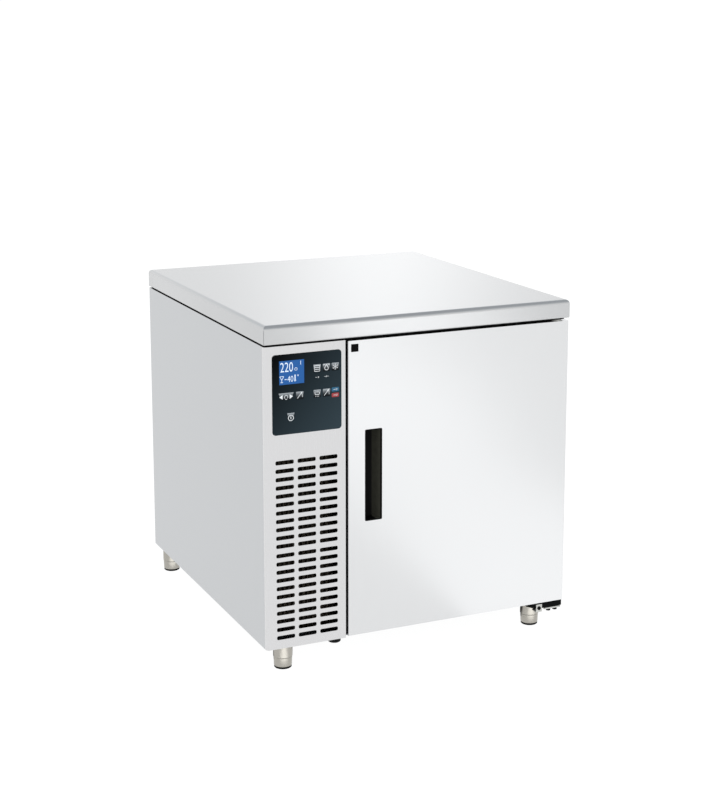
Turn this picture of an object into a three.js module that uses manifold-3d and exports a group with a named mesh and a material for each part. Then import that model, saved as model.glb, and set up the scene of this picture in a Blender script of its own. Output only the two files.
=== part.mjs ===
// A blast chiller of worktop height: an insulated chamber with one right-hung door, a machine
// compartment on its left behind a slotted service panel, and a folded steel worktop on four legs.
// Millimetres. X runs left to right, Y from front to back and Z up; the floor is Z = 0.
import * as THREE from "three";
import { mergeVertices } from "three/addons/utils/BufferGeometryUtils.js";
import Module from "manifold-3d";

const wasm = await Module();
wasm.setup();

// ------------------------------------------------------------------ driving dimensions

// Whole cabinet
const WIDTH = 810; // worktop, side to side
const DEPTH = 865; // worktop, front to back
const HEIGHT = 850; // floor to worktop surface
const FOOT_HEIGHT = 70; // floor to the underside of the base pan
const SIDE_INSET = 1.2; // side panels stand back this far under the worktop's edges
const FRONT_INSET = 2; // and the front and back panels this far
const SHEET = 1.2; // casing panels
const PAN_SHEET = 1.5; // base pan
const SIDE_FOLD = 18; // side panels round the back corner
const SEAT = 0.3; // fitting gap round a piece that sits in another

// Worktop
const WORKTOP_EDGE = 45;
const WORKTOP_SHEET = 1.5;
const WORKTOP_SOFT_BEND = 8; // front and right edges
const WORKTOP_CRISP_BEND = 2; // left and back edges
const WORKTOP_LIP = 22; // return under the edge
const SHADOW_GAP = 4.5; // between the worktop's edge and the panels

// Machine compartment and its service panel
const COLUMN_WIDTH = 204.3; // left side panel to the service panel's right edge
const PANEL_BEND = 8; // front left corner
const PANEL_LAND = 5; // flat part of the service panel that lies on the side
const PANEL_RETURN = 24; // right-hand fold
const POST_FLANGE = 15;
const POST_DEPTH = 85;

// Air slots of the service panel: two blocks, one above the other
const SLOT_COLUMNS = 3;
const SLOT_HEIGHT = 9.5;
const SLOT_GAP = 9.3; // between neighbouring columns
const SLOT_CORNER = 3;
const SLOT_PITCH = 20.2;
const SLOT_BLOCK_STEP = 23; // from the lowest row of one block to the top row of the next
const SLOT_LEFT_MARGIN = 25.8;
const SLOT_RIGHT_MARGIN = 22;
const SLOT_TOP_MARGIN = 276; // panel's top edge to the middle of the highest row
const SLOT_FOOT_MARGIN = 26; // panel's bottom edge to the middle of the lowest row

// Controls
const OVERLAY_LEFT_MARGIN = 19.3;
const OVERLAY_RIGHT_MARGIN = 11.5;
const OVERLAY_TOP_MARGIN = 20;
const OVERLAY_HEIGHT = 189.5;
const OVERLAY_THICK = 0.8;
const OVERLAY_CORNER = 8;
const DISPLAY_WIDTH = 62.5;
const DISPLAY_HEIGHT = 56.5;
const DISPLAY_LEFT = 17.5; // overlay's left edge to the display
const DISPLAY_TOP = 15; // overlay's top edge to the display
const DISPLAY_THICK = 7;
const HOUSING_DEPTH = 34;
const HOUSING_WALL = 2;

// Insulated body and chamber
const WALL = 60; // foam
const LINER = 1;
const LINER_CORNER = 14;
const FRAME_THICK = 4;

// Door
const DOOR_THICK = 60;
const DOOR_SIDE_GAP = 6; // service panel to the door
const DOOR_TOP_GAP = 3;
const DOOR_FOOT_GAP = 3;
const DOOR_SHEET = 1;
const DOOR_CORNER = 2.5;
const DOOR_LIP = 14; // fold round the back of the door pan
const DISH_INSET = 48; // door's edge to the raised part of the inner pan
const DISH_HEIGHT = 6;
const GASKET_THICK = 11;
const GASKET_WIDTH = 14;
const GASKET_INSET = 26; // door's edge to the gasket
const SEAL_CLEARANCE = 0.4; // gasket to front frame
const CUP_WIDTH = 41.5;
const CUP_HEIGHT = 222;
const CUP_DEPTH = 26;
const CUP_WALL = 2;
const CUP_RIM = 0.8;
const CUP_LEFT = 45; // door's left edge to the handle cup
const CUP_RISE = 283.5; // door's bottom edge to the handle cup

// Door hinges
const HINGE_SIDE = 23.8; // pivot to the right side of the cabinet
const HINGE_FRONT = 22; // pivot to the front of the door
const PIN_RADIUS = 5;
const PIN_DEPTH = 22; // pin inside the door
const BUSH_RADIUS = 9;
const BUSH_FLANGE = 13;
const UPPER_ARM_THICK = 4;
const LOWER_ARM_THICK = 14;
const LOWER_ARM_LENGTH = 101;
const LOWER_ARM_DEPTH = 27;
const PLATE_THICK = 4.5;
const PLATE_LENGTH = 47;
const BOLT_SPACING = 19;
const BOLT_HEAD = 6.5; // radius across the corners
const BOLT_HEIGHT = 7.5;
const BOLT_EDGE = 11; // end of the plate to the first bolt
const WASHER_THICK = 2;
const ARM_HALF = 16; // upper arm at the pivot
const ARM_WING = 40; // upper arm's foot, to the left of the pivot
const HINGE_TAIL = 44; // upper arm behind the front frame's face
const LOWER_ARM_TIP = 4; // thickness where the lower arm runs out
const LOWER_ARM_TAPER = 26;
const STOP_WIDTH = 17;
const STOP_THICK = 3;
const STOP_DROP = 8; // under the lower arm

// Tray racks and trays
const RACK_SPACE = 37; // chamber wall to the side of a 400 mm tray and its 3 mm of play
const RACK_FRONT = 24; // front frame to the runners
const RACK_GUARD_GAP = 12; // runners to the fan guards
const RACK_HEADROOM = 60; // least height over the highest runner
const RUNNER_PITCH = 75;
const RUNNER_LEDGE = 20;
const RUNNER_HEIGHT = 18;
const RUNNER_SHEET = 1.5;
const RUNNER_FOOT = 58; // chamber floor to the lowest runner
const UPRIGHT_WIDTH = 24;
const UPRIGHT_INSET = 60; // runners' ends to the uprights
const UPRIGHT_FOOT = 18; // chamber floor to the uprights
const UPRIGHT_RISE = 8; // uprights above the highest runner

// Chamber fans and evaporator
const DEFLECTOR_SPACE = 117.6; // front of the deflector to the back of the chamber
const DEFLECTOR_SHEET = 1.5;
const DEFLECTOR_MARGIN = 32; // air gap at each side
const DEFLECTOR_RETURN = 20;
const FAN_SPACING = 290;
const FAN_RING = 118; // inner radius of the ring round the blades
const FAN_TIP = 111;
const FAN_HUB = 40;
const FAN_LENGTH = 22;
const FAN_MOTOR_RADIUS = 36;
const FAN_MOTOR_LENGTH = 28;
const RING_LENGTH = 50;
const GUARD_STANDOFF = 12; // guard in front of the deflector
const GUARD_WIRE = 3;
const COIL_DEPTH = 40;
const COIL_MARGIN = 3; // coil to the chamber's back
const COIL_SIDE = 42; // chamber wall to the coil's block
const COIL_TOP_MARGIN = 20;
const COIL_FIN = 1.4;
const COIL_FIN_PITCH = 26;
const COIL_SPINE = 9;
const COIL_END = 2;
const HAIRPINS = 3; // at each end
const HAIRPIN_BEND = 34;
const HAIRPIN_MARGIN = 60; // coil's foot to the lowest bend, and its top to the highest
const TUBE_RADIUS = 5;
const CONNECTOR_REACH = 8; // pipe joints past the end plate
const TRAY_TROUGH = 24; // height of the drip tray
const TROUGH_SHEET = 1;
const TROUGH_SIDE = 28; // past the coil's block at each end
const TROUGH_FRONT = 14; // in front of the coil
const HOLE_CLEARANCE = 0.8; // round the pipes in the wall
const DRAIN_SETBACK = 90; // chamber's back to the drain
const DRAIN_RADIUS = 11;

// Condenser and its fan
const CONDENSER_WIDTH = 165;
const CONDENSER_DEPTH = 40;
const CONDENSER_HEIGHT = 470;
const CONDENSER_FRONT = 34; // front face of the cabinet to the condenser
const CONDENSER_LEFT = 18; // side of the cabinet to the condenser
const CONDENSER_FIN_PITCH = 12;
const CONDENSER_RING = 78;
const CONDENSER_TIP = 72;
const CONDENSER_HUB = 30;
const CONDENSER_MOTOR_RADIUS = 29;
const CONDENSER_MOTOR_LENGTH = 34;
const CONDENSER_FAN_LENGTH = 20;
const FAN_STANDOFF = 8; // shroud's sheet to the blades
const STUB_REACH = 10; // condenser's back to the ends of its pipe stubs
const INLET_MARGIN = 24; // condenser's top to its inlet
const OUTLET_RISE = 40; // pan to its outlet
const CONDENSER_RING_LENGTH = 26;
const STRAP_THICK = 3;
const STRAP_HEIGHT = 30;

// Compressor and pipes
const COMPRESSOR_RADIUS = 72;
const COMPRESSOR_HEIGHT = 190;
const COMPRESSOR_BACK = 370; // its axis in front of the cabinet's back
const COMPRESSOR_FOOT = 12; // rubber mounts
const COMPRESSOR_PLATE = 3;
const PIPE_RADIUS = 5;
const SUCTION_RADIUS = 7;
const DRIER_RADIUS = 14;
const DRIER_LENGTH = 110;
const PORT_REACH = 14; // compressor's shell to the end of its ports
const PORT_OFFSET = 20; // ports to the compressor's middle plane
const PIPE_LEAD = 40; // straight pipe at a joint
const DRIER_SETBACK = 190; // condenser's stubs to the drier

// Power box, on the partition
const POWER_WIDTH = 96;
const POWER_DEPTH = 210;
const POWER_HEIGHT = 180;
const POWER_TOP_MARGIN = 46; // under the top panel
const POWER_LID = 14;
const POWER_LID_EDGE = 2;
const POWER_GLAND_RADIUS = 9;
const POWER_GLAND_SPACING = 40;

// Mains gland and the outlet slots of the back panel
const GLAND_SIDE = 45; // left side of the cabinet to the gland
const GLAND_RISE = 60; // base to the gland
const GLAND_RADIUS = 10;
const GLAND_NECK = 10;
const GLAND_FLANGE = 2.5;
const GLAND_LEDGE = 4; // flange past the neck
const GLAND_BORE = 5;
const OUTLET_SLOT = 140;
const OUTLET_PITCH = 46;
const OUTLET_MARGIN = 130; // base to the lowest outlet slot, and the highest to the top

// Base pan and its plug
const PAN_FOLD = 18;
const PAN_SETBACK = 14; // behind the door's front
const PLUG_SIDE = 22; // service panel's right edge to the plug
const PLUG_FRONT = 22;
const PLUG_NECK = 9;
const PLUG_HEAD = 15;

// Legs
const FRONT_LEG_SIDE = 63; // front legs' axes to the side of the cabinet
const FRONT_LEG_SETBACK = 58; // and to its front
const REAR_LEG_SIDE = 36; // rear legs' axes to the side
const REAR_LEG_SETBACK = 34; // and to the back
const SLEEVE_RADIUS = 23.5;
const INSERT_RADIUS = 22;
const STEM_RADIUS = 15;
const INSERT_SHOWING = 28; // insert below the sleeve
const STEM_LENGTH = 34; // stem inside the sleeve
const SLEEVE_END = 3.5; // closed end of the sleeve, under the pan

// ------------------------------------------------------------------ places that follow

const SIDE_X = WIDTH / 2 - SIDE_INSET;
const FRONT_Y = -DEPTH / 2 + FRONT_INSET;
const BACK_Y = DEPTH / 2 - FRONT_INSET;
const EDGE_Z = HEIGHT - WORKTOP_EDGE;
const PANEL_TOP = EDGE_Z - SHADOW_GAP;
const BASE_Z = FOOT_HEIGHT;
const PAN_TOP = BASE_Z + PAN_SHEET;

const COLUMN_RIGHT = -SIDE_X + COLUMN_WIDTH;
const BODY_LEFT = COLUMN_RIGHT - SHEET;
const BODY_RIGHT = SIDE_X - SHEET;
const BODY_BACK = BACK_Y - 2 * SHEET;
const BODY_TOP = PANEL_TOP - SHEET;
const FRAME_Y = FRONT_Y + DOOR_THICK + GASKET_THICK + LINER;

const CHAMBER_LEFT = BODY_LEFT + SHEET + WALL + LINER;
const CHAMBER_RIGHT = BODY_RIGHT - WALL - LINER;
const CHAMBER_FLOOR = PAN_TOP + WALL + LINER;
const CHAMBER_ROOF = BODY_TOP - WALL - LINER;
const CHAMBER_BACK = BODY_BACK - WALL - LINER;
const CHAMBER_X = (CHAMBER_LEFT + CHAMBER_RIGHT) / 2;
const CHAMBER_Z = (CHAMBER_FLOOR + CHAMBER_ROOF) / 2;

const DOOR_LEFT = COLUMN_RIGHT + DOOR_SIDE_GAP;
const DOOR_RIGHT = SIDE_X;
const DOOR_BACK = FRONT_Y + DOOR_THICK;
const DOOR_FOOT = BASE_Z + DOOR_FOOT_GAP;
const DOOR_TOP = PANEL_TOP - DOOR_TOP_GAP;
const HINGE_X = SIDE_X - HINGE_SIDE;
const HINGE_Y = FRONT_Y + HINGE_FRONT;

// ------------------------------------------------------------------ shape tools

/** A closed geometry, its vertices merged and its faces turned outwards, as a solid. */
function solid(geometry) {
  const bare = geometry.clone();
  bare.deleteAttribute("normal");
  bare.deleteAttribute("uv");
  const merged = mergeVertices(bare, 1e-4);
  const points = merged.attributes.position;
  const corners = merged.index.array;
  const a = new THREE.Vector3();
  const b = new THREE.Vector3();
  const c = new THREE.Vector3();
  const kept = [];
  let volume = 0;
  for (let i = 0; i < corners.length; i += 3) {
    const [p, q, r] = [corners[i], corners[i + 1], corners[i + 2]];
    if (p === q || q === r || r === p) continue;
    kept.push(p, q, r);
    a.fromBufferAttribute(points, p);
    b.fromBufferAttribute(points, q);
    c.fromBufferAttribute(points, r);
    volume += a.dot(b.cross(c));
  }
  if (volume < 0) kept.reverse();
  return new wasm.Manifold(
    new wasm.Mesh({
      numProp: 3,
      vertProperties: points.array,
      triVerts: new Uint32Array(kept),
    }),
  );
}

/** A box between its limits. */
function box(x0, x1, y0, y1, z0, z1) {
  const shape = new THREE.BoxGeometry(x1 - x0, y1 - y0, z1 - z0);
  return solid(shape.translate((x0 + x1) / 2, (y0 + y1) / 2, (z0 + z1) / 2));
}

const AXES = {
  x: [new THREE.Vector3(0, 1, 0), new THREE.Vector3(0, 0, 1), new THREE.Vector3(1, 0, 0)],
  y: [new THREE.Vector3(1, 0, 0), new THREE.Vector3(0, 0, 1), new THREE.Vector3(0, -1, 0)],
  z: [new THREE.Vector3(1, 0, 0), new THREE.Vector3(0, 1, 0), new THREE.Vector3(0, 0, 1)],
};

/**
 * A flat outline carried along an axis. Its plane is YZ, XZ or XY for the axes x, y and z. An arc
 * of the outline is drawn with twice as many straight steps as curveSegments.
 */
function prism(outline, axis, from, to, curveSegments = 2) {
  const depth = to - from;
  const block = new THREE.ExtrudeGeometry(outline, { depth, bevelEnabled: false, curveSegments });
  block.applyMatrix4(new THREE.Matrix4().makeBasis(...AXES[axis]));
  const start = axis === "y" ? to : from;
  return solid(block.translate(...["x", "y", "z"].map((name) => (name === axis ? start : 0))));
}

/** A closed outline through points. */
function polygon(points) {
  return new THREE.Shape(points.map(([u, v]) => new THREE.Vector2(u, v)));
}

/** A rectangle with round corners. */
function roundedRect(u0, u1, v0, v1, radius) {
  const r = Math.min(radius, (u1 - u0) / 2.01, (v1 - v0) / 2.01);
  const shape = new THREE.Shape();
  shape.moveTo(u0 + r, v0);
  shape.lineTo(u1 - r, v0);
  shape.absarc(u1 - r, v0 + r, r, -Math.PI / 2, 0);
  shape.lineTo(u1, v1 - r);
  shape.absarc(u1 - r, v1 - r, r, 0, Math.PI / 2);
  shape.lineTo(u0 + r, v1);
  shape.absarc(u0 + r, v1 - r, r, Math.PI / 2, Math.PI);
  shape.lineTo(u0, v0 + r);
  shape.absarc(u0 + r, v0 + r, r, Math.PI, Math.PI * 1.5);
  return shape;
}

/** An air slot's outline: a rectangle whose round corners are drawn as one straight cut each. */
function slotOutline(u0, u1, v0, v1) {
  const cut = Math.min(SLOT_CORNER, (v1 - v0) / 2.1);
  return polygon([
    [u0 + cut, v0],
    [u1 - cut, v0],
    [u1, v0 + cut],
    [u1, v1 - cut],
    [u1 - cut, v1],
    [u0 + cut, v1],
    [u0, v1 - cut],
    [u0, v0 + cut],
  ]);
}

/** A circle. */
function circle(u, v, radius) {
  return new THREE.Shape().absarc(u, v, radius, 0, Math.PI * 2);
}

/** A round bar or disc along an axis. */
function bar(u, v, radius, axis, from, to, sides = 16) {
  return prism(circle(u, v, radius), axis, from, to, sides / 2);
}

/** A profile of [radius, height] points turned about the Z axis. */
function turned(profile, sides = 24) {
  const points = profile.map(([r, h]) => new THREE.Vector2(r, h));
  return solid(new THREE.LatheGeometry(points, sides).rotateX(Math.PI / 2));
}

/** A round pipe along a smooth route through points. */
function pipe(points, radius, steps = 16, sides = 6) {
  const route = new THREE.CatmullRomCurve3(
    points.map((p) => new THREE.Vector3(...p)),
    false,
    "centripetal",
  );
  const section = circle(0, 0, radius);
  const options = {
    steps,
    curveSegments: sides / 2,
    extrudePath: route,
    bevelEnabled: false,
  };
  return solid(new THREE.ExtrudeGeometry(section, options));
}

/** A half-circle hairpin bend of a coil's tube, from z0 to z1, standing out from x towards outX. */
function hairpin(x, y, z0, z1, side, radius) {
  const bend = (z1 - z0) / 2;
  const points = [];
  for (let i = 0; i <= 4; i += 1) {
    const turn = (Math.PI * i) / 4;
    points.push([x + side * bend * 0.8 * Math.sin(turn), y, (z0 + z1) / 2 - bend * Math.cos(turn)]);
  }
  return pipe([[x - side * radius, y, z0], ...points, [x - side * radius, y, z1]], radius, 5, 6);
}

/** Rectangles in XZ, each {x0, x1, z0, z1, y}, joined one after another into a closed surface. */
function rectangleSkin(rings, closesOnItself) {
  const vertices = [];
  for (const { x0, x1, z0, z1, y } of rings) {
    vertices.push(x0, y, z0, x1, y, z0, x1, y, z1, x0, y, z1);
  }
  const faces = [];
  const count = rings.length;
  const spans = closesOnItself ? count : count - 1;
  for (let i = 0; i < spans; i += 1) {
    for (let k = 0; k < 4; k += 1) {
      const here = i * 4 + k;
      const along = i * 4 + ((k + 1) % 4);
      const next = ((i + 1) % count) * 4 + k;
      const nextAlong = ((i + 1) % count) * 4 + ((k + 1) % 4);
      faces.push(here, along, nextAlong, here, nextAlong, next);
    }
  }
  if (!closesOnItself) {
    const last = (count - 1) * 4;
    faces.push(0, 2, 1, 0, 3, 2, last, last + 1, last + 2, last, last + 2, last + 3);
  }
  const skin = new THREE.BufferGeometry();
  skin.setAttribute("position", new THREE.Float32BufferAttribute(vertices, 3));
  skin.setIndex(faces);
  return solid(skin);
}

/** Rings for rectangleSkin: a profile of [inset, y] points round the door-like rectangle given. */
function insetRings(profile, x0, x1, z0, z1) {
  return profile.map(([inset, y]) => ({
    x0: x0 + inset,
    x1: x1 - inset,
    z0: z0 + inset,
    z1: z1 - inset,
    y,
  }));
}

/** One fan: hub and swept blades about the Y axis, with a shaft stub towards the motor. */
function fanRotor(hub, tip, length, shaftReach, stubSide) {
  const cup = turned([
    [0, 0],
    [hub * 0.92, 0],
    [hub, 2],
    [hub, length],
    [0, length],
  ], 14);
  let rotor = cup;
  const blades = 5;
  const stations = 3;
  for (let n = 0; n < blades; n += 1) {
    const vertices = [];
    for (let s = 0; s < stations; s += 1) {
      const share = s / (stations - 1);
      const radius = hub * 0.9 + (tip - hub * 0.9) * share;
      const chord = hub * 0.95 + (tip - hub) * 0.75 * share;
      const pitch = 0.62 - 0.3 * share;
      const sweep = (2 * Math.PI * n) / blades + 0.22 * share * share;
      const half = 0.9 - 0.4 * share;
      const camber = chord * 0.09;
      const section = [
        [-0.5, -half], [0, camber - half], [0.5, -half],
        [0.5, half], [0, camber + half], [-0.5, half],
      ];
      for (const [along, rise] of section) {
        const across = along * chord * Math.cos(pitch) - rise * Math.sin(pitch);
        const height = along * chord * Math.sin(pitch) + rise * Math.cos(pitch);
        const angle = sweep + across / radius;
        const fit = Math.max(-length / 2 + 0.5, Math.min(length / 2 - 0.5, height));
        vertices.push(radius * Math.cos(angle), radius * Math.sin(angle), length / 2 + fit);
      }
    }
    const faces = [];
    for (let s = 0; s < stations - 1; s += 1) {
      for (let k = 0; k < 6; k += 1) {
        const here = s * 6 + k;
        const along = s * 6 + ((k + 1) % 6);
        faces.push(here, along, along + 6, here, along + 6, here + 6);
      }
    }
    const last = (stations - 1) * 6;
    for (const [p, q, r] of [[0, 1, 5], [1, 4, 5], [1, 2, 4], [2, 3, 4]]) {
      faces.push(p, r, q);
      faces.push(last + p, last + q, last + r);
    }
    const blade = new THREE.BufferGeometry();
    blade.setAttribute("position", new THREE.Float32BufferAttribute(vertices, 3));
    blade.setIndex(faces);
    rotor = rotor.add(solid(blade));
  }
  const stub = bar(0, 0, 4.5, "z", stubSide > 0 ? length - 1 : -shaftReach,
    stubSide > 0 ? length + shaftReach : 1, 12);
  return rotor.add(stub);
}

/** A fan motor about the Z axis: a can with a bore for the rotor's shaft at its far end. */
function fanMotor(radius, length) {
  const bore = 4.8;
  return turned([
    [0, 0],
    [radius - 4, 0],
    [radius, 4],
    [radius, length * 0.7],
    [radius * 0.8, length],
    [bore, length],
    [bore, length * 0.3],
    [0, length * 0.3],
  ], 14);
}

/** A finned coil block: a spine with fins on both sides, cut as one comb and carried upwards. */
function finBlock(x0, x1, y0, y1, z0, z1, pitch, fin) {
  const middle = (y0 + y1) / 2;
  const spine = COIL_SPINE / 2;
  const count = Math.floor((x1 - x0 - fin) / pitch);
  const start = (x0 + x1 - count * pitch) / 2;
  const front = [];
  const back = [];
  for (let i = 0; i <= count; i += 1) {
    const x = start + i * pitch;
    front.push([x - fin / 2, middle - spine], [x - fin / 2, y0], [x + fin / 2, y0]);
    front.push([x + fin / 2, middle - spine]);
    back.push([x - fin / 2, middle + spine], [x - fin / 2, y1], [x + fin / 2, y1]);
    back.push([x + fin / 2, middle + spine]);
  }
  const rooted = COIL_END / 2; // the spine runs into the end plates
  front[0][0] = x0 - rooted;
  back[0][0] = x0 - rooted;
  front[front.length - 1][0] = x1 + rooted;
  back[back.length - 1][0] = x1 + rooted;
  return prism(polygon([...front, ...back.reverse()]), "z", z0, z1);
}

/** Solids joined into one. */
function joined(...pieces) {
  return pieces.reduce((whole, piece) => whole.add(piece));
}

const blastChiller = new THREE.Group();
const cabinet = new THREE.Group();
const chamber = new THREE.Group();
const machine = new THREE.Group();
const door = new THREE.Group();
const legs = new THREE.Group();
blastChiller.add(cabinet, chamber, machine, door, legs);

const brushedSteel = { color: 0xd9dadb, roughness: 0.32, metalness: 1 };
const plainSteel = { color: 0xb9bbbd, roughness: 0.45, metalness: 1 };
const galvanised = { color: 0xa9adb0, roughness: 0.5, metalness: 1 };
const zinc = { color: 0xc6c4bb, roughness: 0.35, metalness: 1 };
const copper = { color: 0xb87348, roughness: 0.35, metalness: 1 };
const aluminium = { color: 0xc4c8cb, roughness: 0.4, metalness: 1 };
const blackPaint = { color: 0x16171a, roughness: 0.5, metalness: 0 };
const blackPlastic = { color: 0x101012, roughness: 0.55, metalness: 0 };
const greyPlastic = { color: 0x8f9396, roughness: 0.55, metalness: 0 };
const whitePlastic = { color: 0xe6e6e2, roughness: 0.5, metalness: 0 };
const rubber = { color: 0x17181a, roughness: 0.85, metalness: 0 };
const greySeal = { color: 0x6d7073, roughness: 0.8, metalness: 0 };
const foam = { color: 0xd9c48a, roughness: 0.95, metalness: 0 };
const board = { color: 0xb59468, roughness: 0.9, metalness: 0 };
const film = { color: 0x1c262d, roughness: 0.35, metalness: 0 };
const glass = { color: 0x2455b8, roughness: 0.1, metalness: 0 };

/** Hangs a solid in a group as a named mesh with a finish. */
function place(group, name, body, finish, at = [0, 0, 0]) {
  const { vertProperties, triVerts } = body.getMesh();
  const geometry = new THREE.BufferGeometry();
  geometry.setAttribute("position", new THREE.BufferAttribute(vertProperties, 3));
  geometry.setIndex(new THREE.BufferAttribute(triVerts, 1));
  geometry.computeVertexNormals();
  const mesh = new THREE.Mesh(geometry, new THREE.MeshStandardMaterial(finish));
  mesh.name = name;
  mesh.position.set(...at);
  group.add(mesh);
}

// ------------------------------------------------------------------ worktop

/** Cross-section of the worktop: upright edges with a bend at each top corner. */
function bentEdges(u0, u1, v0, v1, bend0, bend1) {
  const shape = new THREE.Shape();
  shape.moveTo(u0, v0);
  shape.lineTo(u1, v0);
  shape.lineTo(u1, v1 - bend1);
  shape.absarc(u1 - bend1, v1 - bend1, bend1, 0, Math.PI / 2);
  shape.lineTo(u0 + bend0, v1);
  shape.absarc(u0 + bend0, v1 - bend0, bend0, Math.PI / 2, Math.PI);
  return shape;
}

/** The worktop's outer form, drawn in by an inset. */
function worktopForm(inset, bottom) {
  const halfWidth = WIDTH / 2 - inset;
  const halfDepth = DEPTH / 2 - inset;
  const top = HEIGHT - inset;
  const soft = WORKTOP_SOFT_BEND - inset;
  const crisp = Math.max(WORKTOP_CRISP_BEND - inset, 0.2);
  const lengthwise = bentEdges(-halfDepth, halfDepth, bottom, top, soft, crisp);
  const crosswise = bentEdges(-halfWidth, halfWidth, bottom, top, crisp, soft);
  return prism(lengthwise, "x", -halfWidth, halfWidth, 3).intersect(
    prism(crosswise, "y", -halfDepth, halfDepth, 3),
  );
}

const lipX = WIDTH / 2 - WORKTOP_LIP;
const lipY = DEPTH / 2 - WORKTOP_LIP;
place(
  cabinet,
  "worktop_skin",
  worktopForm(0, EDGE_Z)
    .subtract(worktopForm(WORKTOP_SHEET, EDGE_Z + WORKTOP_SHEET))
    .subtract(box(-lipX, lipX, -lipY, lipY, EDGE_Z - 1, EDGE_Z + WORKTOP_SHEET + 1)),
  brushedSteel,
);

// The core fills the fold and stands on the cabinet through the window between the lips. Its foot
// keeps behind the door's upper hinge.
const coreInset = WORKTOP_SOFT_BEND + WORKTOP_SHEET;
place(
  cabinet,
  "worktop_core",
  box(
    -WIDTH / 2 + coreInset, WIDTH / 2 - coreInset,
    -DEPTH / 2 + coreInset, DEPTH / 2 - coreInset,
    EDGE_Z + WORKTOP_SHEET, HEIGHT - WORKTOP_SHEET,
  ).add(
    box(-lipX + 1, lipX - 1, FRAME_Y + HINGE_TAIL + 2, lipY - 1, PANEL_TOP, EDGE_Z + 3),
  ),
  board,
);

// ------------------------------------------------------------------ casing

const panelSeam = FRONT_Y + PANEL_BEND + PANEL_LAND; // service panel meets the side panel

// Top panel: full depth over the machine compartment, back to the front frame over the body
place(
  cabinet,
  "top_panel",
  prism(
    polygon([
      [-BODY_RIGHT, FRONT_Y + SHEET],
      [BODY_LEFT, FRONT_Y + SHEET],
      [BODY_LEFT, FRAME_Y],
      [BODY_RIGHT, FRAME_Y],
      [BODY_RIGHT, BODY_BACK],
      [-BODY_RIGHT, BODY_BACK],
    ]),
    "z", BODY_TOP, PANEL_TOP,
  ).subtract(
    // the service panel's bend
    box(-SIDE_X, -SIDE_X + PANEL_BEND, FRONT_Y, FRONT_Y + PANEL_BEND, BODY_TOP - 1, PANEL_TOP + 1),
  ),
  galvanised,
);

/** Plan of a side panel: a flat sheet with a fold round the back corner. */
function sidePlan(side, frontY) {
  const outer = side * SIDE_X;
  const inner = side * BODY_RIGHT;
  const fold = side * (SIDE_X - SIDE_FOLD);
  return polygon([
    [outer, frontY],
    [outer, BACK_Y],
    [fold, BACK_Y],
    [fold, BACK_Y - SHEET],
    [inner, BACK_Y - SHEET],
    [inner, frontY],
  ]);
}

place(cabinet, "left_side_panel", prism(sidePlan(-1, panelSeam + SEAT), "z", BASE_Z, PANEL_TOP),
  brushedSteel);
place(cabinet, "right_side_panel", prism(sidePlan(1, FRAME_Y), "z", BASE_Z, PANEL_TOP),
  brushedSteel);

// Back panel with the machine compartment's outlet slots and the mains gland's hole
const glandX = -SIDE_X + GLAND_SIDE;
const glandZ = BASE_Z + GLAND_RISE;
let backPanel = box(-BODY_RIGHT, BODY_RIGHT, BODY_BACK, BACK_Y - SHEET, BASE_Z, PANEL_TOP);
const outletX = (-SIDE_X + BODY_LEFT) / 2;
const outletRows = Math.floor((PANEL_TOP - BASE_Z - 2 * OUTLET_MARGIN) / OUTLET_PITCH);
for (let row = 0; row < outletRows; row += 1) {
  const z = BASE_Z + OUTLET_MARGIN + row * OUTLET_PITCH;
  backPanel = backPanel.subtract(
    prism(
      slotOutline(outletX - OUTLET_SLOT / 2, outletX + OUTLET_SLOT / 2, z, z + SLOT_HEIGHT),
      "y", BODY_BACK - 1, BACK_Y,
    ),
  );
}
backPanel = backPanel.subtract(
  bar(glandX, glandZ, GLAND_RADIUS + SEAT, "y", BODY_BACK - 1, BACK_Y),
);
place(cabinet, "back_panel", backPanel, galvanised);

// Base pan: a plate with folds on the machine compartment's outer sides
const drainX = CHAMBER_X;
const drainY = CHAMBER_BACK - DRAIN_SETBACK;
const plugX = COLUMN_RIGHT - PLUG_SIDE;
const plugY = FRONT_Y + PLUG_FRONT;
const panFront = FRONT_Y + SHEET;
place(
  cabinet,
  "base_pan",
  joined(
    prism(
      polygon([
        [-BODY_RIGHT, FRONT_Y + PANEL_BEND + 1],
        [-SIDE_X + PANEL_BEND + 1, panFront],
        [BODY_LEFT, panFront],
        [BODY_LEFT, FRONT_Y + PANEL_RETURN + SEAT],
        [COLUMN_RIGHT + SEAT, FRONT_Y + PANEL_RETURN + SEAT],
        [COLUMN_RIGHT + SEAT, FRONT_Y + PAN_SETBACK],
        [BODY_RIGHT, FRONT_Y + PAN_SETBACK],
        [BODY_RIGHT, BODY_BACK],
        [-BODY_RIGHT, BODY_BACK],
      ]),
      "z", BASE_Z, PAN_TOP,
    ),
    box(-BODY_RIGHT, -BODY_RIGHT + PAN_SHEET, FRONT_Y + PANEL_BEND + 10, BODY_BACK, BASE_Z,
      PAN_TOP + PAN_FOLD),
    box(-SIDE_X + PANEL_BEND + 10, BODY_LEFT - POST_FLANGE - 6, panFront, panFront + PAN_SHEET,
      BASE_Z, PAN_TOP + PAN_FOLD),
    box(-BODY_RIGHT, BODY_LEFT - 4, BODY_BACK - PAN_SHEET, BODY_BACK, BASE_Z,
      PAN_TOP + PAN_FOLD),
  )
    .subtract(bar(drainX, drainY, DRAIN_RADIUS + SEAT, "z", BASE_Z - 1, PAN_TOP + 1))
    .subtract(bar(plugX, plugY, PLUG_NECK + SEAT, "z", BASE_Z - 1, PAN_TOP + 1))
    .subtract(bar(HINGE_X, HINGE_Y, PIN_RADIUS + 2, "z", BASE_Z - 1, PAN_TOP + 1)),
  plainSteel,
);

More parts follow.
